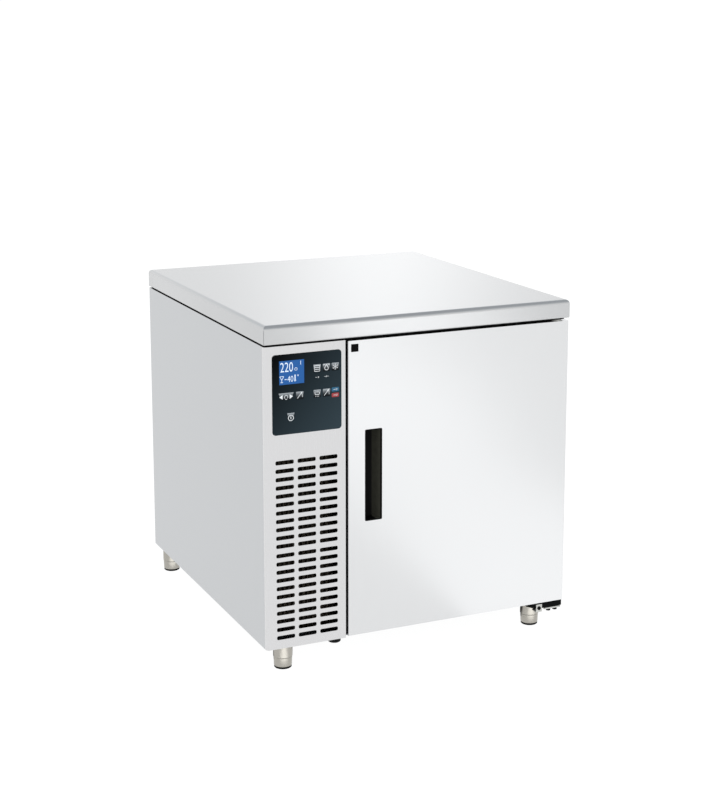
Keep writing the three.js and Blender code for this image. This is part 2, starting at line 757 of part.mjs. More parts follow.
// Rubber plug in the base: round head below, neck through the pan and a bead above it
place(
  cabinet,
  "base_plug",
  turned([
    [0, -8],
    [PLUG_HEAD - 3, -8],
    [PLUG_HEAD, -5],
    [PLUG_HEAD, 0],
    [PLUG_NECK, 0],
    [PLUG_NECK, PAN_SHEET],
    [PLUG_NECK + 1.5, PAN_SHEET + 2],
    [PLUG_NECK - 2, PAN_SHEET + 5],
    [0, PAN_SHEET + 5],
  ], 14),
  rubber,
  [plugX, plugY, BASE_Z],
);

// Centre post between the service panel and the insulated body: a channel open to the left
const postFront = FRONT_Y + SHEET + 4;
const postBack = postFront + POST_DEPTH;
place(
  cabinet,
  "centre_post",
  prism(
    polygon([
      [BODY_LEFT, postFront],
      [BODY_LEFT, postBack],
      [BODY_LEFT - POST_FLANGE, postBack],
      [BODY_LEFT - POST_FLANGE, postBack - SHEET],
      [BODY_LEFT - SHEET, postBack - SHEET],
      [BODY_LEFT - SHEET, postFront + SHEET],
      [BODY_LEFT - POST_FLANGE, postFront + SHEET],
      [BODY_LEFT - POST_FLANGE, postFront],
    ]),
    "z", PAN_TOP, BODY_TOP,
  ),
  blackPaint,
);

// ------------------------------------------------------------------ service panel and controls

/** Plan of the service panel: land on the side, soft front bend, face and right-hand return. */
function servicePlan() {
  const left = -SIDE_X;
  const right = COLUMN_RIGHT;
  const inner = PANEL_BEND - SHEET;
  const fold = 2;
  const shape = new THREE.Shape();
  shape.moveTo(left, panelSeam);
  shape.lineTo(left, FRONT_Y + PANEL_BEND);
  shape.absarc(left + PANEL_BEND, FRONT_Y + PANEL_BEND, PANEL_BEND, Math.PI, Math.PI * 1.5);
  shape.lineTo(right - fold, FRONT_Y);
  shape.absarc(right - fold, FRONT_Y + fold, fold, -Math.PI / 2, 0);
  shape.lineTo(right, FRONT_Y + PANEL_RETURN);
  shape.lineTo(right - SHEET, FRONT_Y + PANEL_RETURN);
  shape.lineTo(right - SHEET, FRONT_Y + SHEET);
  shape.lineTo(left + PANEL_BEND, FRONT_Y + SHEET);
  shape.absarc(left + PANEL_BEND, FRONT_Y + PANEL_BEND, inner, Math.PI * 1.5, Math.PI, true);
  shape.lineTo(left + SHEET, panelSeam);
  return shape;
}

const overlayLeft = -SIDE_X + OVERLAY_LEFT_MARGIN;
const overlayRight = COLUMN_RIGHT - OVERLAY_RIGHT_MARGIN;
const overlayTop = PANEL_TOP - OVERLAY_TOP_MARGIN;
const overlayFoot = overlayTop - OVERLAY_HEIGHT;
const displayLeft = overlayLeft + DISPLAY_LEFT;
const displayTop = overlayTop - DISPLAY_TOP;
const displayWindow = box(
  displayLeft, displayLeft + DISPLAY_WIDTH,
  FRONT_Y - 2, FRONT_Y + 4,
  displayTop - DISPLAY_HEIGHT, displayTop,
);

const slotLength =
  (COLUMN_WIDTH - SLOT_LEFT_MARGIN - SLOT_RIGHT_MARGIN - SLOT_GAP * (SLOT_COLUMNS - 1)) /
  SLOT_COLUMNS;
const slotTop = PANEL_TOP - SLOT_TOP_MARGIN;
const slotField = slotTop - SLOT_BLOCK_STEP - (BASE_Z + SLOT_FOOT_MARGIN);
const blockRows = 1 + Math.floor(slotField / 2 / SLOT_PITCH);
const slotRows = [];
for (let row = 0; row < 2 * blockRows; row += 1) {
  const step = row < blockRows ? 0 : SLOT_BLOCK_STEP - SLOT_PITCH;
  slotRows.push(slotTop - row * SLOT_PITCH - step);
}

// The air slots are punched out of the flat sheet before it is folded
const slotOutlines = [];
for (const z of slotRows) {
  for (let column = 0; column < SLOT_COLUMNS; column += 1) {
    const x = -SIDE_X + SLOT_LEFT_MARGIN + column * (slotLength + SLOT_GAP);
    slotOutlines.push(slotOutline(x, x + slotLength, z - SLOT_HEIGHT / 2, z + SLOT_HEIGHT / 2));
  }
}
const punch = prism(slotOutlines, "y", FRONT_Y - 1, FRONT_Y + SHEET + 1);
place(
  cabinet,
  "service_panel",
  prism(servicePlan(), "z", BASE_Z, PANEL_TOP, 3).subtract(punch).subtract(displayWindow),
  brushedSteel,
);

place(
  cabinet,
  "control_overlay",
  prism(
    roundedRect(overlayLeft, overlayRight, overlayFoot, overlayTop, OVERLAY_CORNER),
    "y", FRONT_Y - OVERLAY_THICK, FRONT_Y, 3,
  ).subtract(displayWindow),
  film,
);

place(
  cabinet,
  "control_display",
  box(
    displayLeft + SEAT, displayLeft + DISPLAY_WIDTH - SEAT,
    FRONT_Y - OVERLAY_THICK + 0.3, FRONT_Y + DISPLAY_THICK,
    displayTop - DISPLAY_HEIGHT + SEAT, displayTop - SEAT,
  ),
  glass,
);

// Housing behind the panel, open to the front, with a boss that carries the display
const housingFront = FRONT_Y + SHEET;
const housingBack = housingFront + HOUSING_DEPTH;
const housingLeft = overlayLeft + 4;
const housingRight = BODY_LEFT - POST_FLANGE - 2;
const housingFoot = overlayFoot + 4;
place(
  cabinet,
  "control_housing",
  box(housingLeft, housingRight, housingFront, housingBack, housingFoot, overlayTop)
    .subtract(
      box(
        housingLeft + HOUSING_WALL, housingRight - HOUSING_WALL,
        housingFront - 1, housingBack - HOUSING_WALL,
        housingFoot + HOUSING_WALL, overlayTop - HOUSING_WALL,
      ),
    )
    .add(
      box(
        displayLeft + 8, displayLeft + DISPLAY_WIDTH - 8,
        FRONT_Y + DISPLAY_THICK, housingBack - 1,
        displayTop - DISPLAY_HEIGHT + 8, displayTop - 8,
      ),
    ),
  greyPlastic,
);

// ------------------------------------------------------------------ insulated body

// The evaporator's block, and the two pipes that reach it through the wall between its hairpins
const coilBack = CHAMBER_BACK - COIL_MARGIN;
const coilFront = coilBack - COIL_DEPTH;
const coilMiddle = (coilFront + coilBack) / 2;
const coilLeft = CHAMBER_LEFT + COIL_SIDE;
const coilRight = CHAMBER_RIGHT - COIL_SIDE;
const coilFoot = CHAMBER_FLOOR + SEAT + TROUGH_SHEET + SEAT;
const coilTop = CHAMBER_ROOF - COIL_TOP_MARGIN;
const hairpinPitch = (coilTop - coilFoot - 2 * HAIRPIN_MARGIN) / HAIRPINS;
const firstHairpin = coilFoot + HAIRPIN_MARGIN;
const feedZ = firstHairpin + 0.4 * hairpinPitch;
const suctionZ = firstHairpin + (HAIRPINS - 0.6) * hairpinPitch;

/** Cuts the two pipe holes through everything between two X limits. */
function pipeHoles(x0, x1) {
  return bar(coilMiddle, feedZ, PIPE_RADIUS + HOLE_CLEARANCE, "x", x0, x1, 12).add(
    bar(coilMiddle, suctionZ, SUCTION_RADIUS + HOLE_CLEARANCE, "x", x0, x1, 12),
  );
}

place(
  cabinet,
  "partition_panel",
  box(BODY_LEFT, BODY_LEFT + SHEET, FRAME_Y, BODY_BACK, PAN_TOP, BODY_TOP).subtract(
    pipeHoles(BODY_LEFT - 1, BODY_LEFT + SHEET + 1),
  ),
  galvanised,
);

/** The chamber's rounded box, grown outwards from the liner's inner faces. */
function chamberForm(grow, frontY, backY) {
  const outline = roundedRect(
    CHAMBER_LEFT - grow, CHAMBER_RIGHT + grow,
    CHAMBER_FLOOR - grow, CHAMBER_ROOF + grow,
    LINER_CORNER + grow,
  );
  return prism(outline, "y", frontY, backY);
}

const foamFront = FRAME_Y + FRAME_THICK;
const drainHole = bar(drainX, drainY, DRAIN_RADIUS + SEAT, "z", PAN_TOP - 1, CHAMBER_FLOOR + 1);
place(
  chamber,
  "foam_body",
  box(BODY_LEFT + SHEET, BODY_RIGHT, foamFront, BODY_BACK, PAN_TOP, BODY_TOP)
    .subtract(chamberForm(LINER + SEAT, foamFront - 1, CHAMBER_BACK + LINER + SEAT))
    .subtract(pipeHoles(BODY_LEFT, CHAMBER_LEFT))
    .subtract(drainHole),
  foam,
);
place(
  chamber,
  "chamber_liner",
  chamberForm(LINER, foamFront, CHAMBER_BACK + LINER)
    .subtract(chamberForm(0, foamFront - 1, CHAMBER_BACK))
    .subtract(pipeHoles(CHAMBER_LEFT - 2 * LINER, CHAMBER_LEFT + 1))
    .subtract(drainHole),
  brushedSteel,
);

// Front frame: the ring that the gasket lands on, with a shallow step towards the chamber
place(
  chamber,
  "front_frame",
  box(BODY_LEFT + SHEET, BODY_RIGHT, FRAME_Y, foamFront, PAN_TOP, BODY_TOP)
    .subtract(chamberForm(0, FRAME_Y - 1, foamFront + 1))
    .subtract(chamberForm(3, FRAME_Y - 1, FRAME_Y + 1.5)),
  greyPlastic,
);

// ------------------------------------------------------------------ chamber fittings

const deflectorY = CHAMBER_BACK - DEFLECTOR_SPACE;
const guardY = deflectorY - GUARD_STANDOFF;

/** One tray rack: two channel uprights hooked on the wall and a ladder of angle runners. */
function trayRack(side) {
  const chamberWall = side > 0 ? CHAMBER_RIGHT : CHAMBER_LEFT;
  const face = chamberWall - side * RACK_SPACE; // beside the tray
  const wall = chamberWall - side * SEAT;
  const back = face + side * RUNNER_SHEET;
  const rackFront = FRAME_Y + RACK_FRONT;
  const rackBack = guardY - RACK_GUARD_GAP;
  const climb = CHAMBER_ROOF - CHAMBER_FLOOR - RUNNER_FOOT - RACK_HEADROOM;
  const levels = Math.floor(climb / RUNNER_PITCH) + 1;
  const highest = CHAMBER_FLOOR + RUNNER_FOOT + (levels - 1) * RUNNER_PITCH;
  const top = highest + RUNNER_HEIGHT + UPRIGHT_RISE;
  const pieces = [];
  for (const y of [rackFront + UPRIGHT_INSET, rackBack - UPRIGHT_INSET - UPRIGHT_WIDTH]) {
    const plan = polygon([
      [back, y],
      [wall, y],
      [wall, y + RUNNER_SHEET],
      [back + side * RUNNER_SHEET, y + RUNNER_SHEET],
      [back + side * RUNNER_SHEET, y + UPRIGHT_WIDTH - RUNNER_SHEET],
      [wall, y + UPRIGHT_WIDTH - RUNNER_SHEET],
      [wall, y + UPRIGHT_WIDTH],
      [back, y + UPRIGHT_WIDTH],
    ]);
    pieces.push(prism(plan, "z", CHAMBER_FLOOR + UPRIGHT_FOOT, top));
  }
  for (let level = 0; level < levels; level += 1) {
    const z = CHAMBER_FLOOR + RUNNER_FOOT + level * RUNNER_PITCH;
    const section = polygon([
      [face - side * RUNNER_LEDGE, z],
      [face - side * RUNNER_LEDGE, z + RUNNER_SHEET],
      [face, z + RUNNER_SHEET],
      [face, z + RUNNER_HEIGHT],
      [back, z + RUNNER_HEIGHT],
      [back, z],
    ]);
    pieces.push(prism(section, "y", rackFront, rackBack));
  }
  return joined(...pieces);
}

place(chamber, "rack_left", trayRack(-1), plainSteel);
place(chamber, "rack_right", trayRack(1), plainSteel);

// Fan deflector: a sheet from floor to roof with folded sides and a ring round each fan
const deflectorBack = deflectorY + DEFLECTOR_SHEET;
const deflectorLeft = CHAMBER_LEFT + DEFLECTOR_MARGIN;
const deflectorRight = CHAMBER_RIGHT - DEFLECTOR_MARGIN;
const fanCentres = [CHAMBER_Z + FAN_SPACING / 2, CHAMBER_Z - FAN_SPACING / 2];
let deflector = joined(
  box(deflectorLeft, deflectorRight, deflectorY, deflectorBack, CHAMBER_FLOOR + SEAT,
    CHAMBER_ROOF - SEAT),
  box(deflectorLeft, deflectorLeft + DEFLECTOR_SHEET, deflectorY, deflectorY + DEFLECTOR_RETURN,
    CHAMBER_FLOOR + SEAT, CHAMBER_ROOF - SEAT),
  box(deflectorRight - DEFLECTOR_SHEET, deflectorRight, deflectorY,
    deflectorY + DEFLECTOR_RETURN, CHAMBER_FLOOR + SEAT, CHAMBER_ROOF - SEAT),
);
for (const z of fanCentres) {
  deflector = deflector
    .add(bar(CHAMBER_X, z, FAN_RING + DEFLECTOR_SHEET, "y", deflectorY,
      deflectorY + RING_LENGTH, 20))
    .subtract(bar(CHAMBER_X, z, FAN_RING, "y", deflectorY - 1, deflectorY + RING_LENGTH + 1, 20));
}
place(chamber, "fan_deflector", deflector, brushedSteel);

/** A wire guard in front of a fan: rings, four spokes bent back to the sheet, a motor plate. */
function fanGuard() {
  const reach = FAN_RING + 9;
  const pieces = [bar(0, 0, FAN_MOTOR_RADIUS, "y", 0, GUARD_WIRE, 12)];
  for (const share of [0.48, 0.72, 0.96]) {
    const ring = new THREE.TorusGeometry(reach * share, GUARD_WIRE / 2, 4, 12);
    pieces.push(solid(ring.rotateX(Math.PI / 2).translate(0, GUARD_WIRE / 2, 0)));
  }
  for (let spoke = 0; spoke < 4; spoke += 1) {
    const arm = new THREE.BoxGeometry(reach - 20, GUARD_WIRE, GUARD_WIRE);
    arm.translate((reach + 20) / 2, GUARD_WIRE / 2, 0);
    const foot = new THREE.BoxGeometry(GUARD_WIRE, GUARD_STANDOFF - SEAT, GUARD_WIRE);
    foot.translate(reach - GUARD_WIRE / 2, (GUARD_STANDOFF - SEAT) / 2, 0);
    const turn = new THREE.Matrix4().makeRotationY(Math.PI / 4 + (spoke * Math.PI) / 2);
    pieces.push(solid(arm.applyMatrix4(turn)), solid(foot.applyMatrix4(turn)));
  }
  return joined(...pieces);
}

/** A solid about the Z axis laid along Y. */
function laidBack(body) {
  return body.rotate([-90, 0, 0]);
}

const fanMotorY = guardY + GUARD_WIRE + SEAT;
const fanRotorY = fanMotorY + FAN_MOTOR_LENGTH + 2;
const shaftReach = FAN_MOTOR_LENGTH * 0.5;
const chamberMotor = laidBack(fanMotor(FAN_MOTOR_RADIUS, FAN_MOTOR_LENGTH));
const chamberRotor = laidBack(fanRotor(FAN_HUB, FAN_TIP, FAN_LENGTH, shaftReach, -1));
fanCentres.forEach((z, index) => {
  const number = index + 1;
  place(chamber, `evap_fan_guard_${number}`, fanGuard(), plainSteel, [CHAMBER_X, guardY, z]);
  place(chamber, `evap_fan_motor_${number}`, chamberMotor, blackPaint, [CHAMBER_X, fanMotorY, z]);
  place(chamber, `evap_fan_rotor_${number}`, chamberRotor, blackPlastic,
    [CHAMBER_X, fanRotorY, z]);
});

// Evaporator: finned block between two end plates that stand in the drip tray
const evaporatorPieces = [
  finBlock(coilLeft, coilRight, coilFront + 2, coilBack - 2, coilFoot + 30, coilTop - 4,
    COIL_FIN_PITCH, COIL_FIN),
  box(coilLeft - COIL_END, coilLeft, coilFront, coilBack, coilFoot, coilTop),
  box(coilRight, coilRight + COIL_END, coilFront, coilBack, coilFoot, coilTop),
];
for (let i = 0; i < HAIRPINS; i += 1) {
  const z = firstHairpin + i * hairpinPitch;
  const leftZ = z + 0.65 * hairpinPitch;
  evaporatorPieces.push(
    hairpin(coilRight + COIL_END, coilMiddle, z, z + HAIRPIN_BEND, 1, TUBE_RADIUS),
    hairpin(coilLeft - COIL_END, coilMiddle, leftZ, leftZ + HAIRPIN_BEND, -1, TUBE_RADIUS),
  );
}
const connectorX = coilLeft - COIL_END - CONNECTOR_REACH;
for (const [z, radius] of [[feedZ, PIPE_RADIUS], [suctionZ, SUCTION_RADIUS]]) {
  evaporatorPieces.push(
    bar(coilMiddle, z, radius, "x", connectorX, coilLeft - COIL_END / 2, 8),
  );
}
place(chamber, "evaporator_coil", joined(...evaporatorPieces), aluminium);

const troughLeft = coilLeft - TROUGH_SIDE;
const troughRight = coilRight + TROUGH_SIDE;
const troughFront = coilFront - TROUGH_FRONT;
place(
  chamber,
  "evaporator_drip_tray",
  box(troughLeft, troughRight, troughFront, CHAMBER_BACK - 1, CHAMBER_FLOOR + SEAT,
    CHAMBER_FLOOR + TRAY_TROUGH)
    .subtract(
      box(troughLeft + TROUGH_SHEET, troughRight - TROUGH_SHEET, troughFront + TROUGH_SHEET,
        CHAMBER_BACK - 1 - TROUGH_SHEET, CHAMBER_FLOOR + SEAT + TROUGH_SHEET,
        CHAMBER_FLOOR + TRAY_TROUGH + 1),
    )
    .subtract(bar(drainX, coilMiddle, 6, "z", CHAMBER_FLOOR - 1, CHAMBER_FLOOR + 5, 10)),
  plainSteel,
);

// Drain spout from the chamber's floor through the foam and out below the base
place(
  chamber,
  "drain_spout",
  turned([
    [DRAIN_RADIUS - 2, BASE_Z - 8],
    [DRAIN_RADIUS, BASE_Z - 8],
    [DRAIN_RADIUS, CHAMBER_FLOOR],
    [DRAIN_RADIUS + 8, CHAMBER_FLOOR],
    [DRAIN_RADIUS + 6, CHAMBER_FLOOR + 2],
    [DRAIN_RADIUS - 2, CHAMBER_FLOOR + 1],
    [DRAIN_RADIUS - 2, BASE_Z - 8],
  ], 16),
  whitePlastic,
  [drainX, drainY, 0],
);

// ------------------------------------------------------------------ machine compartment

// Condenser behind the slotted panel
const condenserLeft = -SIDE_X + CONDENSER_LEFT;
const condenserRight = condenserLeft + CONDENSER_WIDTH;
const condenserFront = FRONT_Y + CONDENSER_FRONT;
const condenserBack = condenserFront + CONDENSER_DEPTH;
const condenserTop = PAN_TOP + CONDENSER_HEIGHT;
const condenserMiddle = (condenserFront + condenserBack) / 2;
const stubX = condenserLeft - COIL_END - PIPE_RADIUS;
const stubBack = condenserBack + STUB_REACH;
const inletZ = condenserTop - INLET_MARGIN;
const outletZ = PAN_TOP + OUTLET_RISE;
const condenserPieces = [
  finBlock(condenserLeft, condenserRight, condenserFront + 1, condenserBack - 1,
    PAN_TOP + 12, condenserTop - 4, CONDENSER_FIN_PITCH, COIL_FIN * 0.8),
  box(condenserLeft - COIL_END, condenserLeft, condenserFront, condenserBack, PAN_TOP,
    condenserTop),
  box(condenserRight, condenserRight + COIL_END, condenserFront, condenserBack, PAN_TOP,
    condenserTop),
];
for (const z of [inletZ, outletZ]) {
  condenserPieces.push(
    pipe([
      [condenserLeft - COIL_END / 2, condenserMiddle, z],
      [stubX, condenserMiddle + PIPE_RADIUS, z],
      [stubX, condenserMiddle + 2 * PIPE_RADIUS, z],
      [stubX, stubBack, z],
    ], PIPE_RADIUS, 6),
  );
}
place(machine, "condenser_coil", joined(...condenserPieces), aluminium);

// Shroud with the fan's ring and the strap that carries the motor
const shroudY = condenserBack + SEAT;
const shroudX = (condenserLeft + condenserRight) / 2;
const shroudZ = (PAN_TOP + condenserTop) / 2;
const condenserFanY = shroudY + FAN_STANDOFF;
const condenserMotorY = condenserFanY + CONDENSER_FAN_LENGTH + 2;
const strapY = condenserMotorY + CONDENSER_MOTOR_LENGTH + SEAT;
const strapX = CONDENSER_RING + 1.5;
place(
  machine,
  "condenser_shroud",
  joined(
    box(condenserLeft, condenserRight, shroudY, shroudY + SHEET, PAN_TOP, condenserTop),
    bar(shroudX, shroudZ, CONDENSER_RING + SHEET, "y", shroudY,
      shroudY + CONDENSER_RING_LENGTH, 20),
    box(shroudX - strapX - STRAP_THICK, shroudX - strapX, shroudY, strapY + STRAP_THICK,
      shroudZ - STRAP_HEIGHT / 2, shroudZ + STRAP_HEIGHT / 2),
    box(shroudX + strapX, shroudX + strapX + STRAP_THICK, shroudY, strapY + STRAP_THICK,
      shroudZ - STRAP_HEIGHT / 2, shroudZ + STRAP_HEIGHT / 2),
    box(shroudX - strapX, shroudX + strapX, strapY, strapY + STRAP_THICK,
      shroudZ - STRAP_HEIGHT / 2, shroudZ + STRAP_HEIGHT / 2),
  ).subtract(
    bar(shroudX, shroudZ, CONDENSER_RING, "y", shroudY - 1, shroudY + CONDENSER_RING_LENGTH + 1, 20),
  ),
  galvanised,
);
place(
  machine,
  "condenser_fan_motor",
  fanMotor(CONDENSER_MOTOR_RADIUS, CONDENSER_MOTOR_LENGTH).rotate([90, 0, 0]),
  blackPaint,
  [shroudX, condenserMotorY + CONDENSER_MOTOR_LENGTH, shroudZ],
);
place(
  machine,
  "condenser_fan_rotor",
  laidBack(
    fanRotor(CONDENSER_HUB, CONDENSER_TIP, CONDENSER_FAN_LENGTH, CONDENSER_MOTOR_LENGTH * 0.5, 1),
  ),
  aluminium,
  [shroudX, condenserFanY, shroudZ],
);

// Compressor: welded shell on a mounting plate and four rubber mounts
const compressorX = (-SIDE_X + BODY_LEFT) / 2;
const compressorY = BACK_Y - COMPRESSOR_BACK;
const plateZ = COMPRESSOR_FOOT;
const mountSpread = COMPRESSOR_RADIUS - 2;
let compressor = turned([
  [0, plateZ],
  [COMPRESSOR_RADIUS * 0.7, plateZ],
  [COMPRESSOR_RADIUS * 0.9, plateZ + 12],
  [COMPRESSOR_RADIUS, plateZ + 34],
  [COMPRESSOR_RADIUS, plateZ + COMPRESSOR_HEIGHT * 0.5],
  [COMPRESSOR_RADIUS * 1.03, plateZ + COMPRESSOR_HEIGHT * 0.52],
  [COMPRESSOR_RADIUS * 1.03, plateZ + COMPRESSOR_HEIGHT * 0.57],
  [COMPRESSOR_RADIUS, plateZ + COMPRESSOR_HEIGHT * 0.59],
  [COMPRESSOR_RADIUS * 0.97, plateZ + COMPRESSOR_HEIGHT * 0.75],
  [COMPRESSOR_RADIUS * 0.78, plateZ + COMPRESSOR_HEIGHT * 0.92],
  [COMPRESSOR_RADIUS * 0.4, plateZ + COMPRESSOR_HEIGHT],
  [0, plateZ + COMPRESSOR_HEIGHT],
], 12).add(
  prism(
    roundedRect(-mountSpread - 14, mountSpread + 14, -mountSpread - 14, mountSpread + 14, 20),
    "z", plateZ, plateZ + COMPRESSOR_PLATE, 1,
  ),
);
for (const x of [-mountSpread, mountSpread]) {
  for (const y of [-mountSpread, mountSpread]) {
    compressor = compressor.add(bar(x, y, 11, "z", 0, plateZ + COMPRESSOR_PLATE + 6, 6));
  }
}
const portZ = plateZ + COMPRESSOR_HEIGHT * 0.68;
const portReach = COMPRESSOR_RADIUS + PORT_REACH;
compressor = compressor
  .add(bar(-PORT_OFFSET, portZ, PIPE_RADIUS + 1, "y", -portReach, -COMPRESSOR_RADIUS / 2, 8))
  .add(bar(PORT_OFFSET, portZ, SUCTION_RADIUS + 1, "y", COMPRESSOR_RADIUS / 2, portReach, 8))
  .add(box(-26, 26, -COMPRESSOR_RADIUS - 22, -30, plateZ + 40, plateZ + 92));
place(machine, "compressor", compressor, blackPaint, [compressorX, compressorY, PAN_TOP]);

// Discharge pipe: from the compressor forward and up to the condenser's inlet
const portHeight = PAN_TOP + portZ;
const dischargeX = compressorX - PORT_OFFSET;
const dischargeY = compressorY - portReach - SEAT;
place(
  machine,
  "discharge_pipe",
  pipe([
    [dischargeX, dischargeY, portHeight],
    [dischargeX, dischargeY - 0.65 * PIPE_LEAD, portHeight],
    [dischargeX - 0.75 * PIPE_LEAD, dischargeY - 1.5 * PIPE_LEAD, portHeight + PIPE_LEAD],
    [stubX + 0.35 * PIPE_LEAD, dischargeY - 2 * PIPE_LEAD, portHeight + 3.5 * PIPE_LEAD],
    [stubX, stubBack + 2.25 * PIPE_LEAD, inletZ - PIPE_LEAD / 2],
    [stubX, stubBack + PIPE_LEAD, inletZ],
    [stubX, stubBack + SEAT, inletZ],
  ], PIPE_RADIUS),
  copper,
);

// Filter drier lying low on the left, fed by the liquid pipe and feeding the evaporator
const drierX = stubX + DRIER_RADIUS - 2;
const drierY = stubBack + DRIER_SETBACK;
const drierZ = outletZ + 6;
place(
  machine,
  "liquid_pipe",
  pipe([
    [stubX, stubBack + SEAT, outletZ],
    [stubX, stubBack + PIPE_LEAD, outletZ],
    [drierX, drierY - PIPE_LEAD, drierZ],
    [drierX, drierY - SEAT, drierZ],
  ], PIPE_RADIUS, 12),
  copper,
);
place(
  machine,
  "filter_drier",
  laidBack(
    turned([
      [0, 0],
      [PIPE_RADIUS + 1, 0],
      [PIPE_RADIUS + 2, 8],
      [DRIER_RADIUS, 20],
      [DRIER_RADIUS, DRIER_LENGTH - 20],
      [PIPE_RADIUS + 2, DRIER_LENGTH - 8],
      [PIPE_RADIUS + 1, DRIER_LENGTH],
      [0, DRIER_LENGTH],
    ], 14),
  ),
  copper,
  [drierX, drierY, drierZ],
);
const feedStart = drierY + DRIER_LENGTH + SEAT;
const wallPass = BODY_LEFT - PIPE_LEAD;
place(
  machine,
  "feed_pipe",
  pipe([
    [drierX, feedStart, drierZ],
    [drierX, feedStart + PIPE_LEAD, drierZ],
    [drierX, compressorY + PIPE_LEAD, drierZ + PIPE_LEAD],
    [drierX + 4, coilMiddle - 1.75 * PIPE_LEAD, feedZ - 0.75 * PIPE_LEAD],
    [wallPass - 1.5 * PIPE_LEAD, coilMiddle, feedZ],
    [wallPass, coilMiddle, feedZ],
    [BODY_LEFT, coilMiddle, feedZ],
    [CHAMBER_LEFT, coilMiddle, feedZ],
    [connectorX - SEAT, coilMiddle, feedZ],
  ], PIPE_RADIUS),
  copper,
);
const suctionStart = compressorY + portReach + SEAT;
place(
  machine,
  "suction_pipe",
  pipe([
    [compressorX + PORT_OFFSET, suctionStart, portHeight],
    [compressorX + PORT_OFFSET, suctionStart + PIPE_LEAD, portHeight],
    [compressorX + PORT_OFFSET / 2, suctionStart + 2 * PIPE_LEAD, portHeight + 2 * PIPE_LEAD],
    [compressorX - PORT_OFFSET / 2, coilMiddle - 1.5 * PIPE_LEAD, suctionZ - 1.5 * PIPE_LEAD],
    [compressorX + PORT_OFFSET, coilMiddle, suctionZ],
    [wallPass, coilMiddle, suctionZ],
    [BODY_LEFT, coilMiddle, suctionZ],
    [CHAMBER_LEFT, coilMiddle, suctionZ],
    [connectorX - SEAT, coilMiddle, suctionZ],
  ], SUCTION_RADIUS),
  copper,
);

// Power box on the partition: a body, a wider lid and two cable glands at its foot
const powerTop = BODY_TOP - POWER_TOP_MARGIN;
const powerFoot = powerTop - POWER_HEIGHT;
const powerY = compressorY - POWER_DEPTH / 2;
const powerLeft = BODY_LEFT - POWER_WIDTH;
const powerGland = (y) =>
  bar(powerLeft + POWER_WIDTH / 2, y, POWER_GLAND_RADIUS, "z",
    powerFoot - POWER_GLAND_RADIUS, powerFoot, 6);
place(
  machine,
  "power_box",
  joined(
    box(powerLeft, BODY_LEFT, powerY, powerY + POWER_DEPTH, powerFoot, powerTop),
    box(powerLeft - POWER_LID / 4, powerLeft + POWER_LID, powerY - POWER_LID_EDGE,
      powerY + POWER_DEPTH + POWER_LID_EDGE, powerFoot - POWER_LID_EDGE, powerTop + POWER_LID_EDGE),
    powerGland(powerY + POWER_GLAND_SPACING),
    powerGland(powerY + 2 * POWER_GLAND_SPACING),
  ),
  greyPlastic,
);

// Mains gland in the back panel: neck inside, flat flange outside, open bore
place(
  machine,
  "mains_gland",
  laidBack(
    turned([
      [GLAND_BORE, 0],
      [GLAND_RADIUS, 0],
      [GLAND_RADIUS, GLAND_NECK],
      [GLAND_RADIUS + GLAND_LEDGE, GLAND_NECK],
      [GLAND_RADIUS + GLAND_LEDGE, GLAND_NECK + GLAND_FLANGE],
      [GLAND_BORE, GLAND_NECK + GLAND_FLANGE],
      [GLAND_BORE, 0],
    ], 12),
  ),
  blackPlastic,
  [glandX, BACK_Y - SHEET + SEAT - GLAND_NECK, glandZ],
);

// ------------------------------------------------------------------ door

/** Plan of the door pan's outside: round front corners, open square back. */
function doorPlan(inset, backY) {
  const left = DOOR_LEFT + inset;
  const right = DOOR_RIGHT - inset;
  const front = FRONT_Y + inset;
  const r = Math.max(DOOR_CORNER - inset, 0.2);
  const shape = new THREE.Shape();
  shape.moveTo(left, backY);
  shape.lineTo(left, front + r);
  shape.absarc(left + r, front + r, r, Math.PI, Math.PI * 1.5);
  shape.lineTo(right - r, front);
  shape.absarc(right - r, front + r, r, -Math.PI / 2, 0);
  shape.lineTo(right, backY);
  return shape;
}

const cupLeft = DOOR_LEFT + CUP_LEFT;
const cupRight = cupLeft + CUP_WIDTH;
const cupFoot = DOOR_FOOT + CUP_RISE;
const cupTop = cupFoot + CUP_HEIGHT;

/** The handle cup's rounded box, grown by a margin, between two depths. */
function cupForm(grow, frontY, backY, radius = 3) {
  return prism(
    roundedRect(cupLeft - grow, cupRight + grow, cupFoot - grow, cupTop + grow, radius),
    "y", frontY, backY,
  );
}

const bushHoles = joined(
  bar(HINGE_X, HINGE_Y, BUSH_RADIUS + SEAT, "z", DOOR_TOP - PIN_DEPTH - 4, DOOR_TOP + 1, 16),
  bar(HINGE_X, HINGE_Y, BUSH_RADIUS + SEAT, "z", DOOR_FOOT - 1, DOOR_FOOT + PIN_DEPTH + 4, 16),
);
const panBack = DOOR_BACK - DOOR_SHEET;
const backWindow = box(
  DOOR_LEFT + DOOR_LIP, DOOR_RIGHT - DOOR_LIP,
  panBack - 1, DOOR_BACK + 1,
  DOOR_FOOT + DOOR_LIP, DOOR_TOP - DOOR_LIP,
);
place(
  door,
  "door_skin",
  prism(doorPlan(0, DOOR_BACK), "z", DOOR_FOOT, DOOR_TOP)
    .subtract(
      prism(doorPlan(DOOR_SHEET, panBack), "z", DOOR_FOOT + DOOR_SHEET, DOOR_TOP - DOOR_SHEET),
    )
    .subtract(backWindow)
    .subtract(cupForm(SEAT, FRONT_Y - 1, FRONT_Y + DOOR_SHEET + 1))
    .subtract(bushHoles),
  brushedSteel,
);

